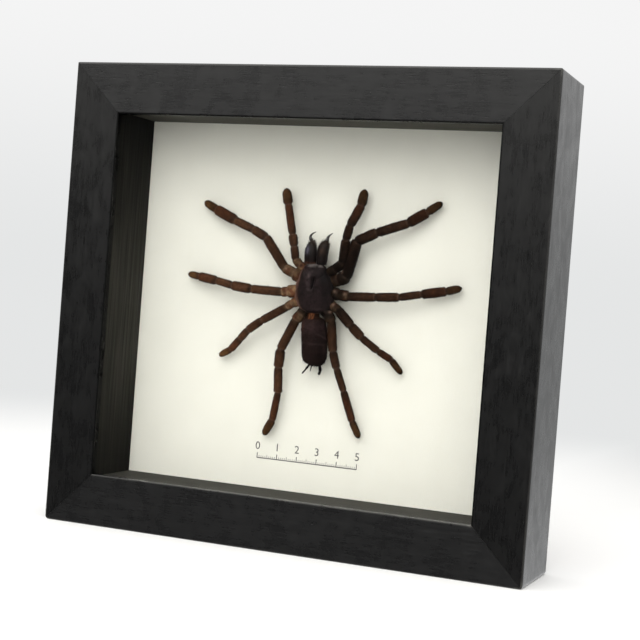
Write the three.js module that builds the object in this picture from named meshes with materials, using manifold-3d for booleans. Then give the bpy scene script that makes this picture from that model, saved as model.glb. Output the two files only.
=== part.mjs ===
// A tarantula specimen in a deep black display frame: four mitred rails, glass, lining strips, a cream
// card on a backing board, and the dried spider glued to the card.
//
// Millimetres, +Z up. The frame stands on its bottom edge: the origin is under the middle of the whole,
// X runs to the right across the front, and Y runs from the glass (-Y) to the back (+Y).

import * as THREE from 'three';
import * as BufferGeometryUtils from 'three/addons/utils/BufferGeometryUtils.js';
import Module from 'manifold-3d';

const wasm = await Module();
wasm.setup();

// ---------------------------------------------------------------- driving dimensions

const WIDTH = 230;
const HEIGHT = 215;
const DEPTH = 43.4;
const RAIL_FACE = 23.7; // width of a rail as seen from the front
const LIP = 6.4; // how far the front lip reaches over the glass
const LIP_THICKNESS = 3.2;
const ARRIS = 0.7; // small bevel along the outer edges of a rail
const CORNER_WEAR = { left_top: 0.5, right_top: 0.6, left_bottom: 1.5, right_bottom: 0.9 };
const GLASS_THICKNESS = 2;
const SPACER_SETBACK = 1.4; // the lining strips stand this far outside the lip's edge
const CARD_DEPTH = 38.3; // from the front of the frame to the face of the card
const CARD_THICKNESS = 0.9;
const BOARD_THICKNESS = 2;
const JOINT_GAP = 0.2; // clearance between neighbouring pieces of the frame
const SKIN_GAP = 0.3; // clearance between neighbouring pieces of the spider

const TAB = { length: 12, width: 8, thickness: 0.4, grip: 4, inset: 52 };
const HANGER = { length: 46, height: 9, thickness: 1, teeth: 12, tooth: 1.4, nailSpacing: 38, plain: 3 };
const NAIL = { shank: 0.7, point: 1.5, head: 1.6, crown: 0.7, headHeight: 0.6, length: 8, sides: 12 };
const OVERCUT = 1; // how far a cutting tool reaches past the surface that it opens

// ---------------------------------------------------------------- derived places

const FRONT_Y = -(DEPTH + HANGER.thickness + NAIL.headHeight) / 2;
const BACK_Y = FRONT_Y + DEPTH;
const CARD_Y = FRONT_Y + CARD_DEPTH;
const REBATE = RAIL_FACE - LIP; // thickness of a rail's outer wall
const GLASS_Y = FRONT_Y + LIP_THICKNESS + JOINT_GAP;
const SPACER_Y = GLASS_Y + GLASS_THICKNESS + JOINT_GAP;
const SPACER_OUT = REBATE + JOINT_GAP;
const SPACER_IN = RAIL_FACE - SPACER_SETBACK;
const BOARD_Y = CARD_Y + CARD_THICKNESS + JOINT_GAP;
const TAB_Y = BOARD_Y + BOARD_THICKNESS + JOINT_GAP;

// ---------------------------------------------------------------- materials

function material(color, roughness, metalness = 0) {
  return new THREE.MeshStandardMaterial({ color, roughness, metalness });
}

const BLACK_WOOD = material(0x232324, 0.45);
const LINING_WOOD = material(0x26241f, 0.7);
const GLASS = material(0xe8f2f0, 0.05);
const CARD = material(0xf0efe4, 0.9);
const HARDBOARD = material(0x7a5a3c, 0.85);
const TAB_STEEL = material(0x9a9c9e, 0.4, 1);
const BRASSED_STEEL = material(0xa98a4a, 0.35, 1);
const DARK_CUTICLE = material(0x2a2022, 0.6);
const ABDOMEN_SKIN = material(0x2c2123, 0.85);
const LEG_CUTICLE = material(0x46302a, 0.7);
const FANG_HORN = material(0x120e0e, 0.25);
const GLUE = material(0xe4dcc4, 0.4);

// ---------------------------------------------------------------- solids and booleans

function toSolid(geometry) {
  const bare = geometry.clone();
  bare.deleteAttribute('normal');
  bare.deleteAttribute('uv');
  const merged = BufferGeometryUtils.mergeVertices(bare, 1e-4);
  return new wasm.Manifold(new wasm.Mesh({
    numProp: 3,
    vertProperties: new Float32Array(merged.attributes.position.array),
    triVerts: new Uint32Array(merged.index.array),
  }));
}

function toGeometry(solid) {
  const mesh = solid.getMesh();
  const geometry = new THREE.BufferGeometry();
  geometry.setAttribute('position', new THREE.BufferAttribute(mesh.vertProperties, 3));
  geometry.setIndex(new THREE.BufferAttribute(mesh.triVerts, 1));
  return geometry;
}

function box(x0, x1, y0, y1, z0, z1) {
  const geometry = new THREE.BoxGeometry(x1 - x0, y1 - y0, z1 - z0);
  geometry.translate((x0 + x1) / 2, (y0 + y1) / 2, (z0 + z1) / 2);
  return geometry;
}

// A closed skin over a row of rings, each with the same number of points and wound the same way.
function loft(rings) {
  const sides = rings[0].length;
  const points = rings.flat();
  const first = points.push(centroid(rings[0])) - 1;
  const last = points.push(centroid(rings[rings.length - 1])) - 1;
  const index = [];
  for (let r = 0; r + 1 < rings.length; r += 1) {
    for (let s = 0; s < sides; s += 1) {
      const a = r * sides + s;
      const b = r * sides + ((s + 1) % sides);
      index.push(a, b, b + sides, a, b + sides, a + sides);
    }
  }
  const end = (rings.length - 1) * sides;
  for (let s = 0; s < sides; s += 1) {
    const t = (s + 1) % sides;
    index.push(first, t, s, last, end + s, end + t);
  }
  const geometry = new THREE.BufferGeometry().setFromPoints(points);
  geometry.setIndex(index);
  return geometry;
}

function centroid(ring) {
  const sum = new THREE.Vector3();
  ring.forEach((point) => sum.add(point));
  return sum.divideScalar(ring.length);
}

const group = new THREE.Group();

function addPart(name, geometry, partMaterial) {
  const mesh = new THREE.Mesh(geometry, partMaterial);
  mesh.name = name;
  group.add(mesh);
  return mesh;
}

// ---------------------------------------------------------------- frame rails

// Cross-section of a rail: u runs from the outer edge of the frame inwards, v from the front to the back.
function railSection() {
  const shape = new THREE.Shape();
  shape.moveTo(ARRIS, 0);
  shape.lineTo(RAIL_FACE - ARRIS, 0);
  shape.lineTo(RAIL_FACE, ARRIS);
  shape.lineTo(RAIL_FACE, LIP_THICKNESS);
  shape.lineTo(REBATE, LIP_THICKNESS);
  shape.lineTo(REBATE, DEPTH);
  shape.lineTo(ARRIS, DEPTH);
  shape.lineTo(0, DEPTH - ARRIS);
  shape.lineTo(0, ARRIS);
  shape.closePath();
  return shape;
}

// A rail of the given outer length, centred on the frame's middle, with both ends mitred.
function railGeometry(length) {
  const geometry = new THREE.ExtrudeGeometry(railSection(), { depth: length, bevelEnabled: false });
  const position = geometry.attributes.position;
  for (let i = 0; i < position.count; i += 1) {
    const u = position.getX(i);
    const v = position.getY(i);
    const mitre = length / 2 - u - JOINT_GAP / 2;
    const along = position.getZ(i) > length / 2 ? mitre : -mitre;
    position.setXYZ(i, u, v, along);
  }
  return geometry;
}

// Puts a rail made along Z at the left of the frame, then turns it a number of quarter turns about Y.
function placeRail(geometry, halfSpan, quarterTurns) {
  geometry.translate(-halfSpan, FRONT_Y, 0);
  geometry.rotateY((quarterTurns * Math.PI) / 2);
  geometry.translate(0, 0, HEIGHT / 2);
  return toSolid(geometry);
}

// A square bar that shaves the tip off one outer corner of the frame, for both rails that meet there.
function cornerBar(side, edge) {
  const wear = CORNER_WEAR[`${side}_${edge}`];
  const bar = new THREE.BoxGeometry(RAIL_FACE, DEPTH + 2 * OVERCUT, RAIL_FACE);
  bar.rotateY(Math.PI / 4);
  const reach = (RAIL_FACE / 2) * Math.SQRT2 - wear;
  const x = (side === 'left' ? -1 : 1) * (WIDTH / 2 + reach);
  const z = edge === 'bottom' ? 0 : HEIGHT;
  bar.translate(x, FRONT_Y + DEPTH / 2, z);
  return toSolid(bar);
}

// Where the tabs grip the edges of the rebate: two on each rail.
function tabPlaces() {
  const halfX = WIDTH / 2 - REBATE;
  const halfZ = HEIGHT / 2 - REBATE;
  const places = [];
  for (const side of [-1, 1]) {
    for (const end of [-1, 1]) {
      const sideName = side < 0 ? 'left' : 'right';
      const endName = end < 0 ? 'lower' : 'upper';
      const alongX = end * (WIDTH / 2 - TAB.inset);
      const alongZ = end * (HEIGHT / 2 - TAB.inset);
      places.push({ name: `back_tab_${sideName}_${endName}`, rail: sideName, x: side * halfX, z: alongZ });
      const edge = side < 0 ? 'bottom' : 'top';
      const way = end < 0 ? 'left' : 'right';
      places.push({ name: `back_tab_${edge}_${way}`, rail: edge, x: alongX, z: side * halfZ });
    }
  }
  return places;
}

// A tab lies flat on the board and bites a little way into its rail; grow makes the slot it sits in.
function tabGeometry(place, grow) {
  const upright = place.rail === 'left' || place.rail === 'right';
  const outward = Math.sign(upright ? place.x : place.z);
  const reach = TAB.length + grow;
  const half = TAB.width / 2 + grow;
  const middle = (outward * (2 * TAB.grip - TAB.length)) / 2;
  const cx = place.x + (upright ? middle : 0);
  const cz = place.z + (upright ? 0 : middle) + HEIGHT / 2;
  const hx = upright ? reach / 2 : half;
  const hz = upright ? half : reach / 2;
  return box(cx - hx, cx + hx, TAB_Y - grow, TAB_Y + TAB.thickness + grow, cz - hz, cz + hz);
}

function nailPlaces() {
  const z = HEIGHT - REBATE / 2;
  return [
    { name: 'hanger_nail_left', x: -HANGER.nailSpacing / 2, z },
    { name: 'hanger_nail_right', x: HANGER.nailSpacing / 2, z },
  ];
}

// A hole along Y for a nail's shank, drilled forwards from behind the hanger.
function nailHole(place) {
  const deep = NAIL.length + 2 * OVERCUT;
  const hole = new THREE.CylinderGeometry(NAIL.shank + JOINT_GAP, NAIL.shank + JOINT_GAP, deep, NAIL.sides);
  hole.translate(place.x, BACK_Y + HANGER.thickness + OVERCUT - deep / 2, place.z);
  return toSolid(hole);
}

function addRails() {
  const rails = {
    left: placeRail(railGeometry(HEIGHT), WIDTH / 2, 0),
    top: placeRail(railGeometry(WIDTH), HEIGHT / 2, 1),
    right: placeRail(railGeometry(HEIGHT), WIDTH / 2, 2),
    bottom: placeRail(railGeometry(WIDTH), HEIGHT / 2, 3),
  };
  for (const place of tabPlaces()) {
    const slot = toSolid(tabGeometry(place, JOINT_GAP));
    rails[place.rail] = rails[place.rail].subtract(slot);
    addPart(place.name, tabGeometry(place, 0), TAB_STEEL);
  }
  for (const place of nailPlaces()) {
    rails.top = rails.top.subtract(nailHole(place));
  }
  for (const side of ['left', 'right']) {
    for (const edge of ['bottom', 'top']) {
      rails[side] = rails[side].subtract(cornerBar(side, edge));
      rails[edge] = rails[edge].subtract(cornerBar(side, edge));
    }
  }
  for (const [side, rail] of Object.entries(rails)) {
    addPart(`frame_rail_${side}`, toGeometry(rail), BLACK_WOOD);
  }
}

// ---------------------------------------------------------------- glass, lining, card and board

// A flat sheet that fills the rebate from edge to edge.
function sheet(y, thickness) {
  const halfX = WIDTH / 2 - REBATE - JOINT_GAP;
  const edge = REBATE + JOINT_GAP;
  return box(-halfX, halfX, y, y + thickness, edge, HEIGHT - edge);
}

function addLayers() {
  addPart('glass_pane', sheet(GLASS_Y, GLASS_THICKNESS), GLASS);
  addPart('mount_card', sheet(CARD_Y, CARD_THICKNESS), CARD);
  addPart('backing_board', sheet(BOARD_Y, BOARD_THICKNESS), HARDBOARD);
}

function addLining() {
  const y1 = CARD_Y - JOINT_GAP;
  const outX = WIDTH / 2 - SPACER_OUT;
  const inX = WIDTH / 2 - SPACER_IN;
  const between = inX - JOINT_GAP;
  addPart('spacer_left', box(-outX, -inX, SPACER_Y, y1, SPACER_OUT, HEIGHT - SPACER_OUT), LINING_WOOD);
  addPart('spacer_right', box(inX, outX, SPACER_Y, y1, SPACER_OUT, HEIGHT - SPACER_OUT), LINING_WOOD);
  addPart('spacer_bottom', box(-between, between, SPACER_Y, y1, SPACER_OUT, SPACER_IN), LINING_WOOD);
  const top = HEIGHT - SPACER_OUT;
  addPart('spacer_top', box(-between, between, SPACER_Y, y1, HEIGHT - SPACER_IN, top), LINING_WOOD);
}

// ---------------------------------------------------------------- hanger

// A strip with a row of teeth along its lower edge, drawn from the back of the frame.
function hangerShape() {
  const half = HANGER.length / 2;
  const toothed = HANGER.nailSpacing / 2 - HANGER.plain;
  const pitch = (2 * toothed) / HANGER.teeth;
  const shape = new THREE.Shape();
  shape.moveTo(-half, -HANGER.height / 2);
  shape.lineTo(-toothed, -HANGER.height / 2);
  for (let i = 0; i < HANGER.teeth; i += 1) {
    const x = -toothed + i * pitch;
    shape.lineTo(x + pitch / 2, -HANGER.height / 2 + HANGER.tooth);
    shape.lineTo(x + pitch, -HANGER.height / 2);
  }
  shape.lineTo(half, -HANGER.height / 2);
  shape.lineTo(half, HANGER.height / 2);
  shape.lineTo(-half, HANGER.height / 2);
  shape.closePath();
  return shape;
}

function addHanger() {
  const plate = new THREE.ExtrudeGeometry(hangerShape(), { depth: HANGER.thickness, bevelEnabled: false });
  plate.rotateX(Math.PI / 2);
  plate.translate(0, BACK_Y + HANGER.thickness, HEIGHT - REBATE / 2);
  let solid = toSolid(plate);
  for (const place of nailPlaces()) {
    solid = solid.subtract(nailHole(place));
  }
  addPart('hanger_plate', toGeometry(solid), BRASSED_STEEL);
  for (const place of nailPlaces()) {
    const profile = [
      new THREE.Vector2(0, -NAIL.length),
      new THREE.Vector2(NAIL.shank, -NAIL.length + NAIL.point),
      new THREE.Vector2(NAIL.shank, 0),
      new THREE.Vector2(NAIL.head, 0),
      new THREE.Vector2(NAIL.head * NAIL.crown, NAIL.headHeight),
      new THREE.Vector2(0, NAIL.headHeight),
    ];
    const nail = new THREE.LatheGeometry(profile, NAIL.sides);
    nail.translate(place.x, BACK_Y + HANGER.thickness, place.z);
    addPart(place.name, nail, BRASSED_STEEL);
  }
}

// ---------------------------------------------------------------- limbs

// Each limb is a row of joints from the body outwards, as [x, z, lift], where lift is the height of the
// limb's middle above the card. The girths are the widths of the segments between those joints.
const LIMBS = {
  leg_1_left: {
    joints: [[-5.2, 122.3, 7.5], [-9.8, 123.9, 8], [-14.4, 125.9, 8.5], [-24.4, 139.4, 9.5],
      [-31.4, 142.8, 9], [-41.9, 146.6, 7], [-53.2, 151.4, 5], [-60.4, 154.9, 3.6]],
    girths: [6.8, 5.2, 4.7, 4.5, 4.2, 5.2, 4.2],
  },
  leg_2_left: {
    joints: [[-6.5, 116, 7.5], [-12.3, 115.2, 8], [-14.9, 114.8, 8.5], [-30, 115.1, 9.5],
      [-40.2, 116.1, 9], [-49.3, 117.8, 7], [-59.6, 119.2, 5], [-66.4, 120.1, 3.4]],
    girths: [6.2, 5, 4.4, 4.8, 4, 4.6, 3.7],
  },
  leg_3_left: {
    joints: [[-6, 111.5, 7.5], [-9.5, 110, 8], [-12, 108, 8.5], [-23.5, 101, 9.5], [-30.5, 96, 9],
      [-35, 91.5, 7], [-40.5, 86, 5], [-47, 82.5, 3.2]],
    girths: [4.8, 4.3, 4.1, 4.1, 3.8, 3.8, 3.5],
  },
  leg_4_left: {
    joints: [[-3, 107.5, 7.5], [-4.9, 105.3, 8], [-7, 102.3, 8.5], [-13, 88.5, 9.5], [-13.7, 80, 9],
      [-13.8, 68.1, 7], [-16.5, 55, 5], [-21, 47.5, 3.4]],
    girths: [5.6, 5.4, 4.6, 4.8, 4.3, 3.6, 4.1],
  },
  leg_1_right: {
    joints: [[8.5, 121.5, 7], [12.4, 122.3, 7.5], [16, 124, 8], [20.2, 140.2, 9], [29.5, 144.6, 9],
      [43.2, 149.7, 7], [51.2, 155.2, 5], [57.4, 160, 3.6]],
    girths: [6.2, 6.4, 5.6, 5, 4.5, 5, 4],
  },
  leg_2_right: {
    joints: [[9, 116, 7.5], [13, 115.6, 8], [18, 115, 8.5], [31.4, 115.6, 9.5], [42.4, 116.4, 9],
      [51.8, 118.4, 7], [62.8, 120.6, 5], [69.5, 122.5, 3.6]],
    girths: [6.2, 5.4, 4.4, 4.3, 3.8, 4.6, 4],
  },
  leg_3_right: {
    joints: [[8, 111.5, 7.5], [11, 110, 8], [13.5, 108.5, 8.5], [20.5, 102, 9.5], [26, 97, 9],
      [33.5, 91.5, 7], [39.5, 88, 5], [44.5, 82, 3.2]],
    girths: [4.8, 4.5, 4.8, 4.5, 3.7, 3.5, 3.4],
  },
  leg_4_right: {
    joints: [[5.8, 108.5, 7.5], [8.4, 106.4, 8], [10.6, 103.2, 8.5], [12.8, 89.5, 9.5], [15, 82, 9],
      [18.5, 72, 7], [23, 58.5, 5], [26.5, 51, 3.4]],
    girths: [5.6, 5.4, 4.5, 4.1, 3.6, 3.8, 3.6],
  },
  palp_left: {
    joints: [[-4.5, 126, 7.5], [-7.2, 127.8, 8], [-9.4, 130.3, 8.5], [-10.3, 136.2, 9],
      [-11.8, 141.6, 8.5], [-16.1, 155.4, 6], [-18.4, 163, 4.5]],
    girths: [4.6, 4.3, 4, 4.3, 3.9, 4.8],
  },
  palp_right: {
    joints: [[7.5, 125, 8.5], [10.6, 127, 9], [14.4, 129.8, 9.5], [15.3, 140.5, 10],
      [16.3, 147, 9], [20.1, 156.6, 6.5], [20.6, 164.2, 4.5]],
    girths: [5, 4.8, 4.6, 4.2, 4.5, 4.7],
  },
};

const LIMB_SIDES = 8;
const FLATNESS = 0.92; // thickness of a limb against its width
const SHOULDER = 1.6; // distance from a joint to the full girth of the segment
const SHORT_SHARE = 0.36; // the most that a shoulder takes up of a short segment
const PINCH = 0.8; // girth at a joint against the thinner of its two segments
const BODY_PINCH = 0.95; // the same at the joints by the body, which are stout
const BODY_JOINTS = 2; // how many joints that is
const SWELL = { root: 0.9, ends: 0.96, middle: 1.02, foot: 0.8, tip: 0.42 }; // shares of a segment's girth
const SWELL_PLACE = 0.6; // where along a long segment it is thickest
const LONG_SEGMENT = 5; // segments longer than this get a ring at their thickest place
const TIP_ROUNDING = 0.35;

function limbPoint(joint) {
  const [x, z, lift] = joint;
  return new THREE.Vector3(x, CARD_Y - lift, z);
}

// A ring of points across a limb: width lies along the card and thickness stands off it.
function limbRing(centre, direction, width, thickness) {
  const across = new THREE.Vector3(direction.z, 0, -direction.x).normalize();
  const away = new THREE.Vector3().crossVectors(direction, across).normalize();
  const ring = [];
  for (let s = 0; s < LIMB_SIDES; s += 1) {
    const angle = ((s + 0.5) * 2 * Math.PI) / LIMB_SIDES;
    ring.push(centre.clone()
      .addScaledVector(across, (Math.cos(angle) * width) / 2)
      .addScaledVector(away, (Math.sin(angle) * thickness) / 2));
  }
  return ring;
}

function limbGeometry(limb, grow) {
  const points = limb.joints.map(limbPoint);
  const ways = [];
  for (let i = 0; i + 1 < points.length; i += 1) {
    ways.push(points[i + 1].clone().sub(points[i]).normalize());
  }
  const rings = [];
  const addRing = (centre, way, girth) => {
    rings.push(limbRing(centre, way, girth + 2 * grow, girth * FLATNESS + 2 * grow));
  };
  limb.girths.forEach((girth, i) => {
    const length = points[i].distanceTo(points[i + 1]);
    const shoulder = Math.min(SHOULDER, length * SHORT_SHARE);
    const at = (distance) => points[i].clone().addScaledVector(ways[i], distance);
    const lastSegment = i + 1 === limb.girths.length;
    if (i === 0) {
      addRing(points[0], ways[0], girth * SWELL.root);
    } else {
      const joint = ways[i - 1].clone().add(ways[i]).normalize();
      const pinch = i > BODY_JOINTS ? PINCH : BODY_PINCH;
      addRing(points[i], joint, Math.min(girth, limb.girths[i - 1]) * pinch);
    }
    addRing(at(shoulder), ways[i], girth * SWELL.ends);
    if (length > LONG_SEGMENT) {
      addRing(at(length * SWELL_PLACE), ways[i], girth * SWELL.middle);
    }
    addRing(at(length - shoulder), ways[i], girth * (lastSegment ? SWELL.foot : SWELL.ends));
    if (lastSegment) {
      addRing(at(length - TIP_ROUNDING), ways[i], girth * SWELL.tip);
    }
  });
  return loft(rings);
}

// ---------------------------------------------------------------- body

// A body section is [x, z, halfWidth, front, back]: front is how far the skin stands towards the glass
// and back how far towards the card, both from the body's middle height.
const BODY_LIFT = 8.5;
const BODY_SIDES = 14;
const JAW_SIDES = 12;

const CEPHALOTHORAX = [
  [0.8, 128.2, 4.2, 2.8, 2.2],
  [0.8, 127.6, 5.2, 3.9, 2.9],
  [0.8, 126.3, 5.9, 4.8, 3.4],
  [1.1, 124.2, 7.4, 5.2, 3.6],
  [1.3, 121.4, 8.6, 5.1, 3.7],
  [1.4, 118.6, 9.4, 4.8, 3.7],
  [1.4, 115.9, 9.8, 4.5, 3.7],
  [1.6, 113.1, 9.8, 4.1, 3.6],
  [1.8, 110.6, 9.2, 3.6, 3.4],
  [2, 108, 7.4, 3, 3],
  [1.9, 106.6, 4.6, 2.1, 2.3],
];

const ABDOMEN = [
  [1.6, 106.8, 3.2, 1.5, 1.4],
  [1.7, 105, 3.3, 1.6, 1.5],
  [2.1, 104, 4.6, 2.3, 2],
  [2.2, 102.6, 5.6, 3.5, 2.8],
  [2.4, 100.6, 6, 4.4, 3.5],
  [2.7, 98, 6.2, 4.8, 3.8],
  [3.2, 94, 6.3, 4.9, 4],
  [3.5, 90, 6.2, 4.8, 4],
  [3.6, 87, 6, 4.4, 3.8],
  [3.7, 84.7, 5.4, 3.7, 3.3],
  [3.9, 83.4, 4.4, 2.7, 2.5],
  [4.1, 82.7, 3, 1.6, 1.5],
];

const CHELICERAE = {
  chelicera_left: [
    [-1.8, 128.8, 2.9, 2.8, 2.4],
    [-1.9, 131.3, 2.95, 3.3, 2.9],
    [-2, 134, 2.9, 3.2, 3],
    [-1.9, 136.4, 2.5, 2.7, 3],
    [-1.75, 138, 1.8, 2, 2.7],
    [-1.7, 139, 1, 1.1, 2.1],
  ],
  chelicera_right: [
    [3.7, 128.8, 2.5, 2.6, 2.4],
    [3.65, 131.6, 2.6, 3.1, 2.9],
    [3.85, 134.4, 2.75, 3.1, 3],
    [4.2, 136.7, 2.6, 2.7, 3],
    [4.6, 138.3, 2.05, 2, 2.7],
    [4.8, 139.3, 1.3, 1.1, 2.1],
  ],
};

// The section of a body is a full dome in front and flatter behind.
function bodyRing(section, sides, grow) {
  const [x, z, half, front, back] = section;
  const ring = [];
  for (let s = 0; s < sides; s += 1) {
    const angle = (s * 2 * Math.PI) / sides;
    const height = Math.sin(angle) > 0 ? front + grow : back + grow;
    const y = CARD_Y - BODY_LIFT - Math.sin(angle) * height;
    ring.push(new THREE.Vector3(x + Math.cos(angle) * (half + grow), y, z));
  }
  return ring;
}

// Skins a body over its sections, listed up or down it; grow widens it all round.
function bodyGeometry(sections, sides, grow = 0) {
  const rings = sections.map((section) => bodyRing(section, sides, grow));
  const falling = sections[0][1] > sections[sections.length - 1][1];
  if (grow > 0) {
    const out = falling ? grow : -grow;
    rings[0].forEach((point) => point.setZ(point.z + out));
    rings[rings.length - 1].forEach((point) => point.setZ(point.z - out));
  }
  return loft(falling ? rings : rings.reverse());
}

// A thin horn or thread through a few points given as [x, z, lift], tapering from its root radius to its
// tip radius.
function thornGeometry(points, form) {
  const curve = new THREE.CatmullRomCurve3(points.map(limbPoint));
  const rings = [];
  for (let i = 0; i <= form.steps; i += 1) {
    const t = i / form.steps;
    const girth = 2 * THREE.MathUtils.lerp(form.root, form.tip, t);
    const ring = limbRing(curve.getPoint(t), curve.getTangent(t), girth, girth);
    rings.push(ring.filter((point, s) => s % (LIMB_SIDES / form.sides) === 0));
  }
  return loft(rings);
}

const FANGS = {
  fang_left: [[-2.4, 139.4, 8], [-3, 140.9, 8], [-2.5, 142.4, 7.4], [-0.9, 143.6, 6.6]],
  fang_right: [[5.3, 139.6, 8], [5.6, 141, 8], [6.2, 142.2, 7.5], [7.5, 143.4, 6.8]],
};
const FANG = { root: 0.95, tip: 0.14, steps: 7, sides: 8 };

const SPINNERET = { steps: 5, sides: 4 };
const SPINNERETS = [
  { points: [[2.1, 84.2, 8], [-0.2, 80.8, 7.5], [-2.6, 78, 7]], root: 0.6, tip: 0.3 },
  { points: [[2.9, 84, 8], [2, 81.2, 7.6], [1.5, 79.5, 7.2]], root: 0.35, tip: 0.18 },
  { points: [[5.5, 84.6, 8], [6.6, 80.8, 7.8], [6, 78.2, 7.4]], root: 0.9, tip: 0.55 },
];

// The groove in the middle of the carapace and the mound that carries the eyes: lift is the height of
// their middle above the body's middle, and size is half their width, thickness and length.
const FOVEA = { x: 1.8, lift: 5.1, z: 119.7, size: [0.55, 1.2, 3.8], lean: 0.165 };
const EYE_MOUND = { x: 1.5, lift: 3.9, z: 126.6, size: [1.5, 1.1, 0.9], lean: 0 };

function spindle(form, sides) {
  const geometry = new THREE.SphereGeometry(1, sides, 6);
  geometry.scale(...form.size);
  geometry.rotateY(form.lean);
  geometry.translate(form.x, CARD_Y - BODY_LIFT - form.lift, form.z);
  return toSolid(geometry);
}

// Adds the two body pieces and returns the room that the cephalothorax takes up.
function addBody() {
  const plain = toSolid(bodyGeometry(CEPHALOTHORAX, BODY_SIDES));
  const thorax = plain.add(spindle(EYE_MOUND, 10)).subtract(spindle(FOVEA, 8));
  const thoraxSpace = toSolid(bodyGeometry(CEPHALOTHORAX, BODY_SIDES, SKIN_GAP));
  addPart('cephalothorax', toGeometry(thorax), DARK_CUTICLE);

  let abdomen = toSolid(bodyGeometry(ABDOMEN, BODY_SIDES));
  for (const thread of SPINNERETS) {
    abdomen = abdomen.add(toSolid(thornGeometry(thread.points, { ...SPINNERET, ...thread })));
  }
  addPart('abdomen', toGeometry(abdomen.subtract(thoraxSpace)), ABDOMEN_SKIN);
  return thoraxSpace;
}

// Each piece is cut clear of the pieces already made, which leaves the skin gap between them.
function addLimbs(thoraxSpace) {
  const spaces = [thoraxSpace, toSolid(bodyGeometry(ABDOMEN, BODY_SIDES, SKIN_GAP))];
  const clear = (solid) => spaces.reduce((left, space) => left.subtract(space), solid);
  for (const [name, sections] of Object.entries(CHELICERAE)) {
    addPart(name, toGeometry(clear(toSolid(bodyGeometry(sections, JAW_SIDES)))), DARK_CUTICLE);
    spaces.push(toSolid(bodyGeometry(sections, JAW_SIDES, SKIN_GAP)));
  }
  for (const [name, points] of Object.entries(FANGS)) {
    addPart(name, toGeometry(clear(toSolid(thornGeometry(points, FANG)))), FANG_HORN);
  }
  for (const [name, limb] of Object.entries(LIMBS)) {
    addPart(name, toGeometry(clear(toSolid(limbGeometry(limb, 0)))), LEG_CUTICLE);
    spaces.push(toSolid(limbGeometry(limb, SKIN_GAP)));
  }
}

// ---------------------------------------------------------------- glue

const GLUE_PADS = {
  glue_pad_front: { x: 1.2, z: 117, radius: 4.5, height: 4 },
  glue_pad_rear: { x: 3.2, z: 93, radius: 3.6, height: 3.8 },
};
const GLUE_PROFILE = [[0, 0], [1, 0], [0.95, 0.5], [0.7, 1], [0, 1]]; // shares of the radius and height
const GLUE_SIDES = 16;

// Two low pads of glue between the underside of the body and the card.
function addGlue() {
  for (const [name, pad] of Object.entries(GLUE_PADS)) {
    const profile = GLUE_PROFILE.map(([out, up]) => new THREE.Vector2(pad.radius * out, pad.height * up));
    const blob = new THREE.LatheGeometry(profile, GLUE_SIDES);
    blob.rotateX(Math.PI);
    blob.translate(pad.x, CARD_Y - JOINT_GAP, pad.z);
    addPart(name, blob, GLUE);
  }
}

addRails();
addLayers();
addLining();
addHanger();
addLimbs(addBody());
addGlue();

export default group;
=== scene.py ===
"""A framed tarantula specimen: satin black rails, glass, lining strips, a cream card and the dried spider.

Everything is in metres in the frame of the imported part: X to the right, Y from the glass to the back,
Z up. Sizes written in millimetres are turned into metres by MM where they are used.
"""

import math

import bmesh
import bpy
import numpy as np
from bpy.props import FloatProperty, FloatVectorProperty, IntProperty, PointerProperty
from mathutils import Matrix, Vector, noise


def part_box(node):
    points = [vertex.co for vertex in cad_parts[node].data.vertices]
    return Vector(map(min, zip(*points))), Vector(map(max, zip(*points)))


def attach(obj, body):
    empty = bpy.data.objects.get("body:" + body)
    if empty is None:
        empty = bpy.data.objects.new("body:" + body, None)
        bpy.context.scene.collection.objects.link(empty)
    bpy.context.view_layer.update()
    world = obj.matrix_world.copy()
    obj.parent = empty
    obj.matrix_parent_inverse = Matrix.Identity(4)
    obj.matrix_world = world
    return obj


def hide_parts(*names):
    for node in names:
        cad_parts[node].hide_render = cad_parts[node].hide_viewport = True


bl_info = {
    "name": "Framed tarantula specimen",
    "version": (1, 0, 0),
    "blender": (4, 5, 0),
    "location": "View3D > Sidebar > Specimen",
    "description": "Makes the wood, glass, card and dried spider of a framed tarantula specimen",
    "category": "Add Mesh",
}

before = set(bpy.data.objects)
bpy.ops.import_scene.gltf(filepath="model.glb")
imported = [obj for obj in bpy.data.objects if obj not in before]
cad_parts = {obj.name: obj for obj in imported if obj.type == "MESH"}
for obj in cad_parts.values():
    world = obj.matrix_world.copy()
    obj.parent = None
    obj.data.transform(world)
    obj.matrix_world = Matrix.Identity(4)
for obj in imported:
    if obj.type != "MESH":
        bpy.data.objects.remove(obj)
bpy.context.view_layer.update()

MM = 0.001
BODY = "root"

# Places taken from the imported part.
CARD_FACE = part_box("mount_card")[0].y
FRONT_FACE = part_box("frame_rail_top")[0].y
BACK_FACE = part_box("frame_rail_top")[1].y
RIGHT_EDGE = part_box("frame_rail_right")[1].x
TOP_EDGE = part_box("frame_rail_top")[1].z
LIP_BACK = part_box("glass_pane")[0].y - 0.2 * MM
RAIL_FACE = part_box("frame_rail_bottom")[1].z
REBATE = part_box("glass_pane")[0].z - 0.2 * MM

# ---------------------------------------------------------------- the spider's own measures, in millimetres

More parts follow.
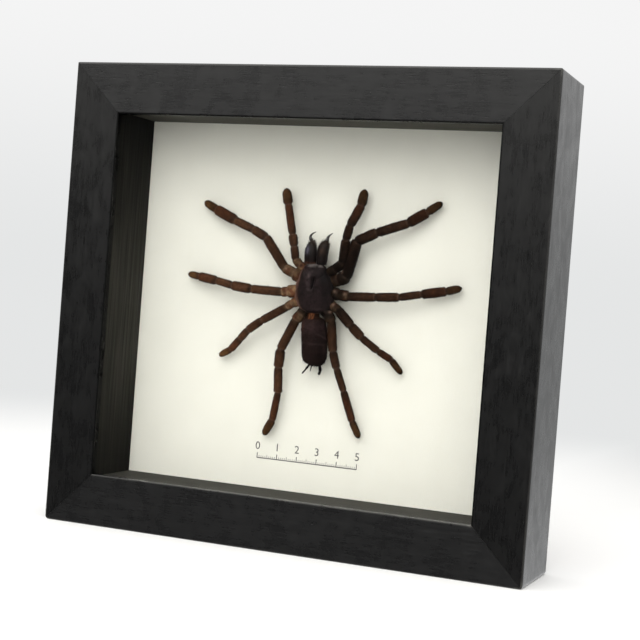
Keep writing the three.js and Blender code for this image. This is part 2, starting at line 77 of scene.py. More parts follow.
# Each limb is a row of joints [x, z, lift] from the body outwards, where lift is the height of the limb's
# middle above the card, and the widths of the segments between those joints.
LIMBS = {
    "leg_1_left": (
        [[-5.2, 122.3, 7.5], [-9.8, 123.9, 8], [-14.4, 125.9, 8.5], [-24.4, 139.4, 9.5], [-31.4, 142.8, 9],
         [-41.9, 146.6, 7], [-53.2, 151.4, 5], [-60.4, 154.9, 3.6]],
        [6.8, 5.2, 4.7, 4.5, 4.2, 5.2, 4.2],
    ),
    "leg_2_left": (
        [[-6.5, 116, 7.5], [-12.3, 115.2, 8], [-14.9, 114.8, 8.5], [-30, 115.1, 9.5], [-40.2, 116.1, 9],
         [-49.3, 117.8, 7], [-59.6, 119.2, 5], [-66.4, 120.1, 3.4]],
        [6.2, 5, 4.4, 4.8, 4, 4.6, 3.7],
    ),
    "leg_3_left": (
        [[-6, 111.5, 7.5], [-9.5, 110, 8], [-12, 108, 8.5], [-23.5, 101, 9.5], [-30.5, 96, 9],
         [-35, 91.5, 7], [-40.5, 86, 5], [-47, 82.5, 3.2]],
        [4.8, 4.3, 4.1, 4.1, 3.8, 3.8, 3.5],
    ),
    "leg_4_left": (
        [[-3, 107.5, 7.5], [-4.9, 105.3, 8], [-7, 102.3, 8.5], [-13, 88.5, 9.5], [-13.7, 80, 9],
         [-13.8, 68.1, 7], [-16.5, 55, 5], [-21, 47.5, 3.4]],
        [5.6, 5.4, 4.6, 4.8, 4.3, 3.6, 4.1],
    ),
    "leg_1_right": (
        [[8.5, 121.5, 7], [12.4, 122.3, 7.5], [16, 124, 8], [20.2, 140.2, 9], [29.5, 144.6, 9],
         [43.2, 149.7, 7], [51.2, 155.2, 5], [57.4, 160, 3.6]],
        [6.2, 6.4, 5.6, 5, 4.5, 5, 4],
    ),
    "leg_2_right": (
        [[9, 116, 7.5], [13, 115.6, 8], [18, 115, 8.5], [31.4, 115.6, 9.5], [42.4, 116.4, 9],
         [51.8, 118.4, 7], [62.8, 120.6, 5], [69.5, 122.5, 3.6]],
        [6.2, 5.4, 4.4, 4.3, 3.8, 4.6, 4],
    ),
    "leg_3_right": (
        [[8, 111.5, 7.5], [11, 110, 8], [13.5, 108.5, 8.5], [20.5, 102, 9.5], [26, 97, 9],
         [33.5, 91.5, 7], [39.5, 88, 5], [44.5, 82, 3.2]],
        [4.8, 4.5, 4.8, 4.5, 3.7, 3.5, 3.4],
    ),
    "leg_4_right": (
        [[5.8, 108.5, 7.5], [8.4, 106.4, 8], [10.6, 103.2, 8.5], [12.8, 89.5, 9.5], [15, 82, 9],
         [18.5, 72, 7], [23, 58.5, 5], [26.5, 51, 3.4]],
        [5.6, 5.4, 4.5, 4.1, 3.6, 3.8, 3.6],
    ),
    "palp_left": (
        [[-4.5, 126, 7.5], [-7.2, 127.8, 8], [-9.4, 130.3, 8.5], [-10.3, 136.2, 9], [-11.8, 141.6, 8.5],
         [-16.1, 155.4, 6], [-18.4, 163, 4.5]],
        [4.6, 4.3, 4, 4.3, 3.9, 4.8],
    ),
    "palp_right": (
        [[7.5, 125, 8.5], [10.6, 127, 9], [14.4, 129.8, 9.5], [15.3, 140.5, 10], [16.3, 147, 9],
         [20.1, 156.6, 6.5], [20.6, 164.2, 4.5]],
        [5, 4.8, 4.6, 4.2, 4.5, 4.7],
    ),
}

# How light a limb is along its length: coxa, trochanter, femur, shin and foot. Besides each limb's own
# colour, the left limbs are set lighter and the right ones darker as painted light, as the light falls from
# the left.
LIMB_TONES_AND_LIGHT = {
    "leg_1_left": (0.56, 0.78, 0.72, 1.08, 1.05),
    "leg_2_left": (1.3, 1.25, 1.05, 1.35, 1.45),
    "leg_3_left": (1.0, 0.88, 0.77, 1.1, 1.7),
    "leg_4_left": (0.08, 0.6, 0.75, 1.05, 1.2),
    "leg_1_right": (0.17, 0.06, 0.11, 0.4, 0.62),
    "leg_2_right": (0.05, 0.1, 0.5, 0.55, 0.66),
    "leg_3_right": (0.7, 0.18, 0.22, 0.68, 0.66),
    "leg_4_right": (0.03, 0.045, 0.55, 0.6, 0.9),
    "palp_left": (0.75, 0.52, 0.68, 0.96, 0.98),
    "palp_right": (0.06, 0.04, 0.14, 0.38, 0.7),
}
# Pale bare knobs where segments meet near the body, at [x, z], on the side towards the glass.
KNOBS = [[11.7, 117], [16.7, 116], [11.3, 110.6], [14.4, 125.9], [10, 107.3], [-13, 125.6]]

# A body section is [x, z, half width, front, back], both heights from the body's middle.
BODY_LIFT = 8.5
CEPHALOTHORAX = [
    [0.8, 128.2, 4.2, 2.8, 2.2],
    [0.8, 127.6, 5.2, 3.9, 2.9],
    [0.8, 126.3, 5.9, 4.8, 3.4],
    [1.1, 124.2, 7.4, 5.2, 3.6],
    [1.3, 121.4, 8.6, 5.1, 3.7],
    [1.4, 118.6, 9.4, 4.8, 3.7],
    [1.4, 115.9, 9.8, 4.5, 3.7],
    [1.6, 113.1, 9.8, 4.1, 3.6],
    [1.8, 110.6, 9.2, 3.6, 3.4],
    [2, 108, 7.4, 3, 3],
    [1.9, 106.6, 4.6, 2.1, 2.3],
]
ABDOMEN = [
    [1.6, 106.8, 3.2, 1.5, 1.4],
    [1.7, 105, 3.3, 1.6, 1.5],
    [2.1, 104, 4.6, 2.3, 2],
    [2.2, 102.6, 5.6, 3.5, 2.8],
    [2.4, 100.6, 6, 4.4, 3.5],
    [2.7, 98, 6.2, 4.8, 3.8],
    [3.2, 94, 6.3, 4.9, 4],
    [3.5, 90, 6.2, 4.8, 4],
    [3.6, 87, 6, 4.4, 3.8],
    [3.7, 84.7, 5.4, 3.7, 3.3],
    [3.9, 83.4, 4.4, 2.7, 2.5],
    [4.1, 82.7, 3, 1.6, 1.5],
]
CHELICERAE = {
    "chelicera_left": [
        [-1.8, 128.8, 2.9, 2.8, 2.4],
        [-1.9, 131.3, 2.95, 3.3, 2.9],
        [-2, 134, 2.9, 3.2, 3],
        [-1.9, 136.4, 2.5, 2.7, 3],
        [-1.75, 138, 1.8, 2, 2.7],
        [-1.7, 139, 1, 1.1, 2.1],
    ],
    "chelicera_right": [
        [3.7, 128.8, 2.5, 2.6, 2.4],
        [3.65, 131.6, 2.6, 3.1, 2.9],
        [3.85, 134.4, 2.75, 3.1, 3],
        [4.2, 136.7, 2.6, 2.7, 3],
        [4.6, 138.3, 2.05, 2, 2.7],
        [4.8, 139.3, 1.3, 1.1, 2.1],
    ],
}

# Horns and threads: points [x, z, lift], root radius, tip radius.
FANGS = {
    "fang_left": ([[-2.4, 139.4, 8], [-3, 140.9, 8], [-2.5, 142.4, 7.4], [-0.9, 143.6, 6.6]], 0.95, 0.14),
    "fang_right": ([[5.3, 139.6, 8], [5.6, 141, 8], [6.2, 142.2, 7.5], [7.5, 143.4, 6.8]], 0.95, 0.14),
}
SPINNERETS = [
    ([[2.1, 84.2, 8], [-0.2, 80.8, 7.5], [-2.6, 78, 7]], 0.6, 0.3),
    ([[2.9, 84, 8], [2, 81.2, 7.6], [1.5, 79.5, 7.2]], 0.35, 0.18),
    ([[5.5, 84.6, 8], [6.6, 80.8, 7.8], [6, 78.2, 7.4]], 0.9, 0.55),
]

FOVEA = (1.8, 119.7, 0.72, 3.1)  # middle x and z of the groove in the carapace, half width, half length
FOVEA_LEAN = 0.168  # how far the groove leans to the right, for each mm upwards
EYE_MOUND = (1.5, 126.6, 1.5, 0.9)  # middle x and z, half width, half length
GLUE_PADS = {
    "glue_pad_front": (1.2, 117, 4.5, 4.0),  # x, z, radius, height
    "glue_pad_rear": (3.2, 93, 3.6, 3.8),
}

# How far each outer corner of the frame is worn back along its edges.
CORNER_WEAR = {(-1, -1): 1.5, (-1, 1): 0.5, (1, -1): 0.9, (1, 1): 0.6}


# ---------------------------------------------------------------- settings


def colour(name, description, default, top=1.0):
    """A colour that the user may change."""
    return FloatVectorProperty(
        name=name, description=description, subtype="COLOR", size=3, min=0, max=top, default=default
    )


def number(name, description, default, **options):
    """A number that the user may change."""
    return FloatProperty(name=name, description=description, default=default, **options)


def length(name, description, default):
    """A length that the user may change."""
    return number(name, description, default, unit="LENGTH", precision=5)


class CaseSettings(bpy.types.PropertyGroup):
    """Finish of the frame, the glass and the card."""

    wood: colour("Wood", "Black stain on the rails", (0.0021, 0.0021, 0.0022))
    grain: colour("Grain", "Lighter streaks of the stained grain", (0.0056, 0.0056, 0.0058))
    worn: colour("Worn edge", "Where the stain has rubbed thin", (0.05, 0.049, 0.045))
    arris: length("Arris", "Radius of the eased edges of a rail", 0.75 * MM)
    lining: colour("Lining", "Paint on the lining strips", (0.0075, 0.0072, 0.0062))
    card: colour("Card", "Cream mounting card", (0.90, 0.885, 0.80))
    ink: colour("Ink", "Printed scale on the card", (0.055, 0.052, 0.05))
    glass_index: number("Glass index", "Index of refraction of the glass", 1.45)
    scale_length: length("Scale", "Length of the printed scale", 50 * MM)
    scale_height: length("Scale height", "Height of the scale's line above the floor", 36.2 * MM)
    digit_height: length("Digits", "Height of the digits on the scale", 3.6 * MM)


class SpiderSettings(bpy.types.PropertyGroup):
    """Colours and fineness of the dried spider."""

    carapace: colour("Carapace", "Top of the carapace", (0.0135, 0.0082, 0.0084))
    carapace_side: colour("Carapace side", "Sloping sides of the carapace", (0.010, 0.006, 0.0055))
    # Own brown of the rim, painted lighter as lit, on the left side only.
    carapace_rim: colour("Carapace rim", "Brown rim along its left side", (0.105, 0.052, 0.036))
    carapace_front: colour("Carapace front", "Pale fringe along the front edge", (0.13, 0.112, 0.106))
    jaw: colour("Jaws", "Skin of the chelicerae", (0.0075, 0.005, 0.0045))
    abdomen: colour("Abdomen", "Velvet of the abdomen", (0.0135, 0.0075, 0.0066))
    waist: colour("Waist", "Bare skin of the pedicel", (0.10, 0.035, 0.014))
    leg: colour("Leg", "Brown of the legs", (0.047, 0.0205, 0.0100))
    tarsus: colour("Tarsus", "Rusty brown of the feet", (0.05, 0.0182, 0.0082))
    coxa: colour("Coxa", "Tan of the first two segments", (0.13, 0.074, 0.038))
    membrane: colour("Membrane", "Pale skin at the joints", (0.22, 0.14, 0.10))
    horn: colour("Fang", "Black horn of the fangs", (0.008, 0.006, 0.006))
    hair_inset: length("Hair inset", "How far the skin lies inside the tips of the hairs", 0.2 * MM)
    ring_step: length("Ring step", "Distance between rings of the limbs", 0.4 * MM)
    sides: IntProperty(name="Sides", description="Points round a limb", default=32, min=12)


class HairSettings(bpy.types.PropertyGroup):
    """The short hairs on the legs and body, in hairs per square millimetre."""

    limb_density: number("Limb density", "Hairs per square mm of limb", 6.0)
    abdomen_density: number("Abdomen density", "Hairs per square mm of abdomen", 11.0)
    carapace_density: number("Carapace density", "Hairs per square mm of carapace", 4.0)
    hair_length: length("Hair length", "Length of a hair on a limb", 0.75 * MM)
    hair_radius: length("Hair radius", "Radius of a hair at its root", 0.032 * MM)


class StageSettings(bpy.types.PropertyGroup):
    """Floor, light and camera."""

    key_power: number("Key", "Power of the softbox above the front", 6.5, unit="POWER")
    backdrop: colour("Backdrop", "Light behind the object, high up", (0.91, 0.91, 0.91))
    horizon: colour("Horizon", "Light behind the object at the floor", (0.78, 0.79, 0.79))
    room: colour("Room", "Dimmer light from the front", (0.50, 0.49, 0.44))
    ceiling: colour("Ceiling", "Light from the front, high up", (2.6, 2.57, 2.48), 4)
    dark_end: colour("Dark end", "Dark end of the room, which the glass mirrors", (0.02, 0.02, 0.02))
    sunk: colour("Below", "Light behind the object from below the floor's level", (1.25, 1.26, 1.27), 4)
    floor: colour("Floor", "Pale table top", (0.74, 0.74, 0.74))


SETTINGS = {
    "case_settings": CaseSettings,
    "spider_settings": SpiderSettings,
    "hair_settings": HairSettings,
    "stage_settings": StageSettings,
}


def settings(name):
    """One group of the scene's settings."""
    return getattr(bpy.context.scene, name)


# ---------------------------------------------------------------- meshes


def make_piece(name, points, faces, material, tint=None, smooth=True):
    """A mesh object that rides on the part; tint is a colour for each point."""
    mesh = bpy.data.meshes.new(name)
    mesh.from_pydata(np.asarray(points).tolist(), [], faces)
    mesh.polygons.foreach_set("use_smooth", [smooth] * len(mesh.polygons))
    if tint is not None:
        paint(mesh, tint)
    mesh.materials.append(material)
    return join_part(add_object(name, mesh))


def add_object(name, data):
    """A new object in the scene."""
    made = bpy.data.objects.new(name, data)
    bpy.context.scene.collection.objects.link(made)
    return made


def join_part(piece):
    """Fixes a piece to the part."""
    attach(piece, BODY)
    return piece


def finished_mesh(name, working, material):
    """The mesh of a bmesh that is done with."""
    mesh = bpy.data.meshes.new(name)
    working.to_mesh(mesh)
    working.free()
    mesh.materials.append(material)
    return mesh


def paint(mesh, tint):
    """Stores a colour for each point of a mesh as its tint."""
    attribute = mesh.color_attributes.new("tint", "FLOAT_COLOR", "POINT")
    rgba = np.ones((len(tint), 4))
    rgba[:, :3] = tint
    attribute.data.foreach_set("color", rgba.ravel())


def outward(points, faces):
    """The faces turned so that they face out of the closed skin."""
    volume = 0.0
    for face in faces:
        a, b, c = (points[i] for i in face[:3])
        volume += np.dot(a, np.cross(b, c)) * (2 if len(face) == 4 else 1)
    return faces if volume > 0 else [tuple(reversed(face)) for face in faces]


def round_angles(sides):
    """Angles of the points of a ring."""
    return np.linspace(0, 2 * math.pi, sides, endpoint=False)


def walls(count, sides):
    """The faces between the rings of a skin."""
    faces = []
    for start in range(0, (count - 1) * sides, sides):
        for side in range(sides):
            a, b = start + side, start + (side + 1) % sides
            faces.append((a, b, b + sides, a + sides))
    return faces


def loft(rings):
    """Points and faces of a closed skin over rows of rings with a fan at each end."""
    count, sides = rings.shape[:2]
    points = np.concatenate([rings.reshape(-1, 3), rings[:1].mean(1), rings[-1:].mean(1)])
    faces = walls(count, sides)
    first, last, end = count * sides, count * sides + 1, (count - 1) * sides
    for side in range(sides):
        after = (side + 1) % sides
        faces.append((first, after, side))
        faces.append((last, end + side, end + after))
    return points, outward(points - points.mean(0), faces)


def roughness_at(points, per_metre, seed=0.0):
    """Smooth noise from -1 to 1 at each point."""
    moved = np.asarray(points) * per_metre + seed
    return np.array([noise.noise(Vector(p)) for p in moved])


def lumps_on(rings, per_metre, seed=0.0):
    """The same noise for rows of rings."""
    return roughness_at(rings.reshape(-1, 3), per_metre, seed).reshape(rings.shape[:2])


def ease(x):
    """A smooth step from 0 to 1."""
    x = np.clip(x, 0, 1)
    return x * x * (3 - 2 * x)


def bump(x):
    """A smooth hill of height 1 and half width 1."""
    return np.exp(-x * x)


def mix(a, b, share):
    """Blends colours a and b row by row."""
    share = np.asarray(share)[..., None]
    return np.asarray(a) * (1 - share) + np.asarray(b) * share


def through(rows, steps):
    """A smooth table through the given rows: the same columns at many more steps."""
    rows = np.array(rows, float)
    count = len(rows)
    slope = np.gradient(rows, axis=0)
    at = np.linspace(0, count - 1, steps)
    index = np.minimum(at.astype(int), count - 2)
    t = (at - index)[:, None]
    a, b, da, db = rows[index], rows[index + 1], slope[index], slope[index + 1]
    return (
        a * (2 * t**3 - 3 * t**2 + 1)
        + da * (t**3 - 2 * t**2 + t)
        + b * (3 * t**2 - 2 * t**3)
        + db * (t**3 - t**2)
    )


# ---------------------------------------------------------------- hairs


# A coat of hair: slot, hairs per square millimetre, length and root radius in millimetres, lean off the
# skin in degrees, lightness against the skin, and the seed of its random draws, to which the number of the
# limb or jaw is added. A word stands for the setting of that name.
COATS = {
    "carapace_down": ("dark_cuticle", "carapace_density", 0.5, 0.022, 12, 1.1, 11),
    "carapace_fringe": ("dark_cuticle", 7, 1.1, 0.03, 30, 1.6, 12),
    "abdomen_velvet": ("abdomen_skin", "abdomen_density", 0.8, 0.03, 20, 1.0, 21),
    "abdomen_bristles": ("abdomen_skin", 0.9, 1.9, 0.03, 34, 1.3, 22),
    "jaw_down": ("dark_cuticle", 5, 0.7, 0.028, 16, 0.95, 31),
    "jaw_fringe": ("dark_cuticle", 7, 1.5, 0.034, 34, 1.0, 41),
    "limb_hair": ("leg_cuticle", "limb_density", "hair_length", "hair_radius", 17, 1.05, 100),
    "limb_bristles": ("leg_cuticle", 0.55, 1.5, 0.03, 30, 1.2, 200),
}
# How far the hairs of a coat differ from each other, as shares of the coat's own values.
LEAN_SPREAD = (0.6, 1.5)
LENGTH_SPREAD = (0.6, 1.25)
RADIUS_SPREAD = (0.8, 1.2)
LIGHTNESS_SPREAD = (-0.2, 0.35)  # added to the coat's lightness
COMB_SCATTER = 0.25
ROOT_DEPTH = 0.03  # of a hair in the skin, in millimetres


def table_of(rows, key, width=3, kind=float):
    """One value of all vertices or triangles of a mesh, as a table."""
    values = np.empty(len(rows) * width, kind)
    rows.foreach_get(key, values)
    return values.reshape(-1, width)


def measure(value, scale=1):
    """A number of a coat times its scale, or the setting that its word names."""
    return getattr(settings("hair_settings"), value) if isinstance(value, str) else value * scale


def plant_hairs(name, coat, skin, comb, material, number=0, weight=None):
    """Many thin closed spikes rooted in a skin, combed along its comb directions.

    weight is a share of the coat's density for each point.
    """
    slot, density, long, thick, lean, lightness, seed = COATS[coat]
    rng = np.random.default_rng(seed + number)
    mesh = skin.data
    mesh.calc_loop_triangles()
    points = table_of(mesh.vertices, "co")
    normals = table_of(mesh.vertices, "normal")
    tint = table_of(mesh.color_attributes["tint"].data, "color", 4)[:, :3]
    corners = table_of(mesh.loop_triangles, "vertices", kind=int)

    a, b, c = (points[corners[:, i]] for i in range(3))
    area = np.linalg.norm(np.cross(b - a, c - a), axis=1) / 2
    if weight is not None:
        area = area * weight[corners].mean(1)
    wanted = int(area.sum() / MM**2 * measure(density))
    chosen = rng.choice(len(corners), wanted, p=area / area.sum())
    shares = rng.dirichlet([1, 1, 1], wanted)
    picked = corners[chosen]
    root = (points[picked] * shares[..., None]).sum(1)
    normal = unit((normals[picked] * shares[..., None]).sum(1))
    along = (comb[picked] * shares[..., None]).sum(1)
    shade = (tint[picked] * shares[..., None]).sum(1)

    along = unit(along + rng.normal(0, COMB_SCATTER, along.shape))
    along = unit(along - normal * (along * normal).sum(1)[:, None])
    angle = np.radians(lean * rng.uniform(*LEAN_SPREAD, wanted))[:, None]
    direction = along * np.cos(angle) + normal * np.sin(angle)
    hair_length = (measure(long, MM) * rng.uniform(*LENGTH_SPREAD, wanted))[:, None]
    radius = (measure(thick, MM) * rng.uniform(*RADIUS_SPREAD, wanted))[:, None]
    side = unit(np.cross(direction, normal))
    up = np.cross(side, direction)
    base = root - normal * ROOT_DEPTH * MM
    spikes = np.stack(
        [
            base + side * radius,
            base - side * radius * 0.5 + up * radius * 0.87,
            base - side * radius * 0.5 - up * radius * 0.87,
            root + direction * hair_length,
        ],
        axis=1,
    ).reshape(-1, 3)
    first = np.arange(wanted)[:, None, None] * 4
    faces = (first + np.array([[0, 2, 1], [0, 1, 3], [1, 2, 3], [2, 0, 3]])).reshape(-1, 3)
    darkest, lightest = (lightness + way for way in LIGHTNESS_SPREAD)
    shade = shade * rng.uniform(darkest, lightest, wanted)[:, None]
    make_piece(name, spikes, faces.tolist(), material, np.repeat(shade, 4, axis=0), smooth=False)


def unit(rows):
    """The rows made 1 long."""
    return rows / np.maximum(np.linalg.norm(rows, axis=-1, keepdims=True), 1e-9)


# ---------------------------------------------------------------- materials


class Finish:
    """One material and the short calls that wire its nodes."""

    def __init__(self, name):
        self.material = bpy.data.materials.new(name)
        self.material.use_nodes = True
        self.tree = self.material.node_tree
        self.surface = self.tree.nodes["Principled BSDF"]

    def node(self, kind, values=None, **options):
        """A new node; values fill its inputs and options are its own properties."""
        made = self.tree.nodes.new(kind)
        for key, value in options.items():
            setattr(made, key, value)
        self.fill(made, values or {})
        return made

    def fill(self, made, values):
        """Links or sets the inputs of a node."""
        for key, value in values.items():
            if isinstance(value, bpy.types.NodeSocket):
                self.tree.links.new(value, made.inputs[key])
            else:
                made.inputs[key].default_value = value

    def shade(self, **values):
        """Fills the sockets of the surface."""
        self.fill(self.surface, {key.replace("_", " "): value for key, value in values.items()})

    def coordinates(self, scale=(1, 1, 1)):
        place = self.node("ShaderNodeTexCoord").outputs["Object"]
        return self.node("ShaderNodeMapping", {"Vector": place, "Scale": scale}).outputs["Vector"]

    def noise(self, vector, scale, detail=4.0, roughness=0.55, distortion=0.0):
        values = {
            "Vector": vector,
            "Scale": scale,
            "Detail": detail,
            "Roughness": roughness,
            "Distortion": distortion,
        }
        return self.node("ShaderNodeTexNoise", values).outputs["Fac"]

    def range(self, value, low, high, to_low=0.0, to_high=1.0):
        values = {"Value": value, "From Min": low, "From Max": high, "To Min": to_low, "To Max": to_high}
        return self.node("ShaderNodeMapRange", values).outputs["Result"]

    def smoothstep(self, value, low, high):
        values = {"Value": value, "From Min": low, "From Max": high}
        return self.node("ShaderNodeMapRange", values, interpolation_type="SMOOTHSTEP").outputs["Result"]

    def vary(self, base, share, low, high):
        """A colour made darker and lighter by a share, from low times to high times."""
        return self.blend(1.0, base, self.blend(share, (low,) * 3, (high,) * 3), "MULTIPLY")

    def blend(self, share, a, b, way="MIX"):
        made = self.node("ShaderNodeMix", data_type="RGBA", blend_type=way)
        sockets = [s for s in made.inputs if s.type == "RGBA"]
        for socket, value in ((made.inputs[0], share), (sockets[0], a), (sockets[1], b)):
            if isinstance(value, bpy.types.NodeSocket):
                self.tree.links.new(value, socket)
            else:
                socket.default_value = value if isinstance(value, float) else (*value, 1)
        return next(s for s in made.outputs if s.type == "RGBA")

    def maths(self, operation, a, b=0.0):
        return self.node("ShaderNodeMath", {0: a, 1: b}, operation=operation).outputs[0]

    def tint(self):
        return self.node("ShaderNodeAttribute", attribute_name="tint").outputs["Color"]

    def relief(self, height, strength, distance):
        """Fine relief from a height."""
        values = {"Height": height, "Strength": strength, "Distance": distance}
        self.fill(self.surface, {"Normal": self.node("ShaderNodeBump", values).outputs["Normal"]})


# Painted shade: near black for the lip's inner side, which lies in shade.
LIP_SHADE_BLACK = (0.0006, 0.0006, 0.0006)  # of the lip's inner side


def scaled(tone, factor):
    """A colour made lighter or darker."""
    return tuple(part * factor for part in tone)


def satin_wood(name, grain_axis, lift):
    """Black stained wood whose grain runs along X (0) or Z (2), with rubbed edges.

    lift makes its stain lighter; on the level rails this is painted light. Below zero, the edge value is
    painted shade: dull black, with little gloss, on the lip's inner side, which lies in shade.
    """
    case = settings("case_settings")
    finish = Finish(name)
    stretch = [1.0, 1.0, 1.0]
    stretch[grain_axis] = 0.09
    vector = finish.coordinates(stretch)
    streaks = finish.noise(vector, 520, 6, 0.62, 0.4)
    fine = finish.noise(vector, 1900, 3, 0.6)
    cloudy = finish.noise(finish.coordinates(), 26, 3)
    blotches = finish.noise(finish.coordinates((1, 1, 0.7)), 120, 4, 0.6, 0.5)
    grain = finish.maths("ADD", finish.maths("MULTIPLY", streaks, 0.45), finish.maths("MULTIPLY", fine, 0.55))
    lightness = finish.range(grain, 0.22, 0.8)
    stain = finish.blend(lightness, scaled(case.wood, lift), scaled(case.grain, lift))
    # The edge value: rubbed edges above zero, painted shade of the lip's inner side below zero.
    wear_and_shade = finish.node("ShaderNodeAttribute", attribute_name="wear_and_shade").outputs["Fac"]
    worn = finish.maths("MULTIPLY", finish.maths("MAXIMUM", wear_and_shade, 0.0), finish.range(cloudy, 0.42, 0.62))
    bare = finish.blend(worn, stain, case.worn)
    pores = finish.range(fine, 0.36, 0.3)
    finish.shade(
        Base_Color=finish.blend(finish.range(wear_and_shade, 0.0, -1.0), bare, LIP_SHADE_BLACK),
        Roughness=finish.maths(
            "ADD", finish.range(grain, 0.3, 0.7, 0.19, 0.31), finish.range(blotches, 0.36, 0.64, 0.09, 0.0)
        ),
        Specular_IOR_Level=finish.range(wear_and_shade, 0.0, -1.0, 0.5, 0.03),
    )
    height = finish.maths("SUBTRACT", grain, finish.maths("MULTIPLY", pores, 0.5))
    finish.relief(height, 0.2, 0.12 * MM)
    return finish.material


def lining_wood(name, grain_axis, lift, gloss, low=1.0, high=1.0):
    """Painted strip with the saw's streaks showing through.

    lift makes the whole strip lighter or darker, and low and high its lower and upper end alone: painted
    light and shade, as the light falls on each strip.
    """
    case = settings("case_settings")
    finish = Finish(name)
    stretch = [1.0, 1.0, 1.0]
    stretch[grain_axis] = 0.03
    vector = finish.coordinates(stretch)
    streaks = finish.noise(vector, 700, 5, 0.6, 0.3)
    dark, light = (scaled(scaled(case.lining, way), lift) for way in (0.5, 1.9))
    share = finish.range(streaks, 0.3, 0.72)
    height = finish.node("ShaderNodeSeparateXYZ", {0: finish.coordinates()}).outputs["Z"]
    # Painted shade: the strip darker towards its lower and upper end.
    lower, upper = finish.range(height, 0.03, 0.08, low, 1.0), finish.range(height, 0.11, 0.18, 1.0, high)
    ends = finish.maths("MULTIPLY", lower, upper)
    finish.shade(
        Base_Color=finish.vary(finish.blend(share, dark, light), ends, 0.0, 1.0),
        Roughness=finish.range(streaks, 0.3, 0.7, 0.5, 0.75),
        Specular_IOR_Level=gloss,
    )
    finish.relief(streaks, 0.4, 0.15 * MM)
    return finish.material


def clear_glass():
    """Plain clear picture glass with a trace of green."""
    finish = Finish("picture_glass")
    share = finish.noise(finish.coordinates(), 9, 2)
    finish.shade(
        Base_Color=finish.blend(share, (0.985, 0.995, 0.99), (0.995, 1.0, 0.995)),
        Roughness=0.0,
        IOR=settings("case_settings").glass_index,
        Transmission_Weight=1.0,
    )
    return finish.material


def cream_card():
    """Pressed card: faint cloudy patches and short fibres."""
    case = settings("case_settings")
    finish = Finish("cream_card")
    vector = finish.coordinates()
    clouds = finish.noise(vector, 60, 3, 0.5)
    fibres = finish.noise(finish.coordinates((1, 1, 0.35)), 900, 4, 0.65, 1.2)
    specks = finish.range(finish.noise(vector, 2600, 1), 0.72, 0.8)
    base = finish.blend(finish.range(clouds, 0.35, 0.65), scaled(case.card, 0.965), case.card)
    mottled = finish.blend(finish.range(fibres, 0.35, 0.65, 0.0, 0.35), base, (0.84, 0.815, 0.71))
    finish.shade(
        Base_Color=finish.blend(finish.maths("MULTIPLY", specks, 0.5), mottled, (0.62, 0.56, 0.44)),
        Roughness=finish.range(fibres, 0.3, 0.7, 0.82, 0.95),
    )
    finish.relief(fibres, 0.3, 0.06 * MM)
    return finish.material


def printing_ink():
    """Flat black ink with thinner spots."""
    case = settings("case_settings")
    finish = Finish("printing_ink")
    share = finish.noise(finish.coordinates(), 1800, 3)
    finish.shade(
        Base_Color=finish.blend(share, case.ink, scaled(case.ink, 1.8)),
        Roughness=finish.range(share, 0, 1, 0.55, 0.75),
    )
    return finish.material


def hardboard():
    """Brown pressed board: matted fibres and darker flecks."""
    finish = Finish("hardboard")
    vector = finish.coordinates()
    mat = finish.noise(vector, 420, 6, 0.7, 1.5)
    flecks = finish.range(finish.noise(vector, 1500, 2), 0.62, 0.72)
    base = finish.blend(finish.range(mat, 0.3, 0.7), (0.13, 0.07, 0.035), (0.27, 0.16, 0.085))
    finish.shade(Base_Color=finish.blend(flecks, base, (0.06, 0.03, 0.016)), Roughness=0.8)
    finish.relief(mat, 0.5, 0.2 * MM)
    return finish.material


def sheet_metal(name, bright, dull, roughness):
    """Rolled metal: streaks along the sheet and dull tarnished spots."""
    finish = Finish(name)
    streaks = finish.noise(finish.coordinates((0.05, 1, 1)), 3000, 3)
    spots = finish.range(finish.noise(finish.coordinates(), 500, 3), 0.5, 0.7)
    finish.shade(
        Base_Color=finish.blend(spots, bright, dull),
        Metallic=1.0,
        Roughness=finish.range(streaks, 0.3, 0.7, roughness, roughness + 0.18),
    )
    finish.relief(streaks, 0.15, 0.03 * MM)
    return finish.material


def dried_skin(name, roughness, grain_scale, relief, gloss):
    """Cuticle coloured by its tint, broken up by fine granules and dull patches."""
    finish = Finish(name)
    vector = finish.coordinates()
    patches = finish.noise(vector, 700, 4, 0.6)
    granules = finish.noise(vector, grain_scale, 4, 0.6)
    finish.shade(
        Base_Color=finish.vary(finish.tint(), finish.range(patches, 0.3, 0.7), 0.62, 1.3),
        Roughness=finish.range(patches, 0.3, 0.7, roughness - 0.08, roughness + 0.1),
        Specular_IOR_Level=gloss,
    )
    finish.relief(granules, 0.5, relief)
    return finish.material


def hair_finish():
    """Hairs coloured by their tint, a little glossy along their length."""
    finish = Finish("short_hair")
    streaks = finish.noise(finish.coordinates(), 1400, 2)
    finish.shade(
        Base_Color=finish.vary(finish.tint(), streaks, 0.75, 1.25),
        Roughness=finish.range(streaks, 0.3, 0.7, 0.42, 0.6),
        Specular_IOR_Level=0.03,
    )
    return finish.material


def fang_horn():
    """Glossy black horn, streaked along the fang."""
    spider = settings("spider_settings")
    finish = Finish("fang_horn")
    streaks = finish.noise(finish.coordinates((1, 1, 0.3)), 1200, 3)
    finish.shade(
        Base_Color=finish.blend(streaks, spider.horn, scaled(spider.horn, 2.5)),
        Roughness=finish.range(streaks, 0.3, 0.7, 0.16, 0.3),
    )
    finish.relief(streaks, 0.2, 0.03 * MM)
    return finish.material


def set_glue():
    """Milky dried glue."""
    finish = Finish("set_glue")
    clouds = finish.noise(finish.coordinates(), 500, 3)
    finish.shade(
        Base_Color=finish.blend(clouds, (0.72, 0.66, 0.5), (0.85, 0.8, 0.68)),
        Roughness=finish.range(clouds, 0.3, 0.7, 0.22, 0.4),
    )
    finish.relief(clouds, 0.3, 0.1 * MM)
    return finish.material


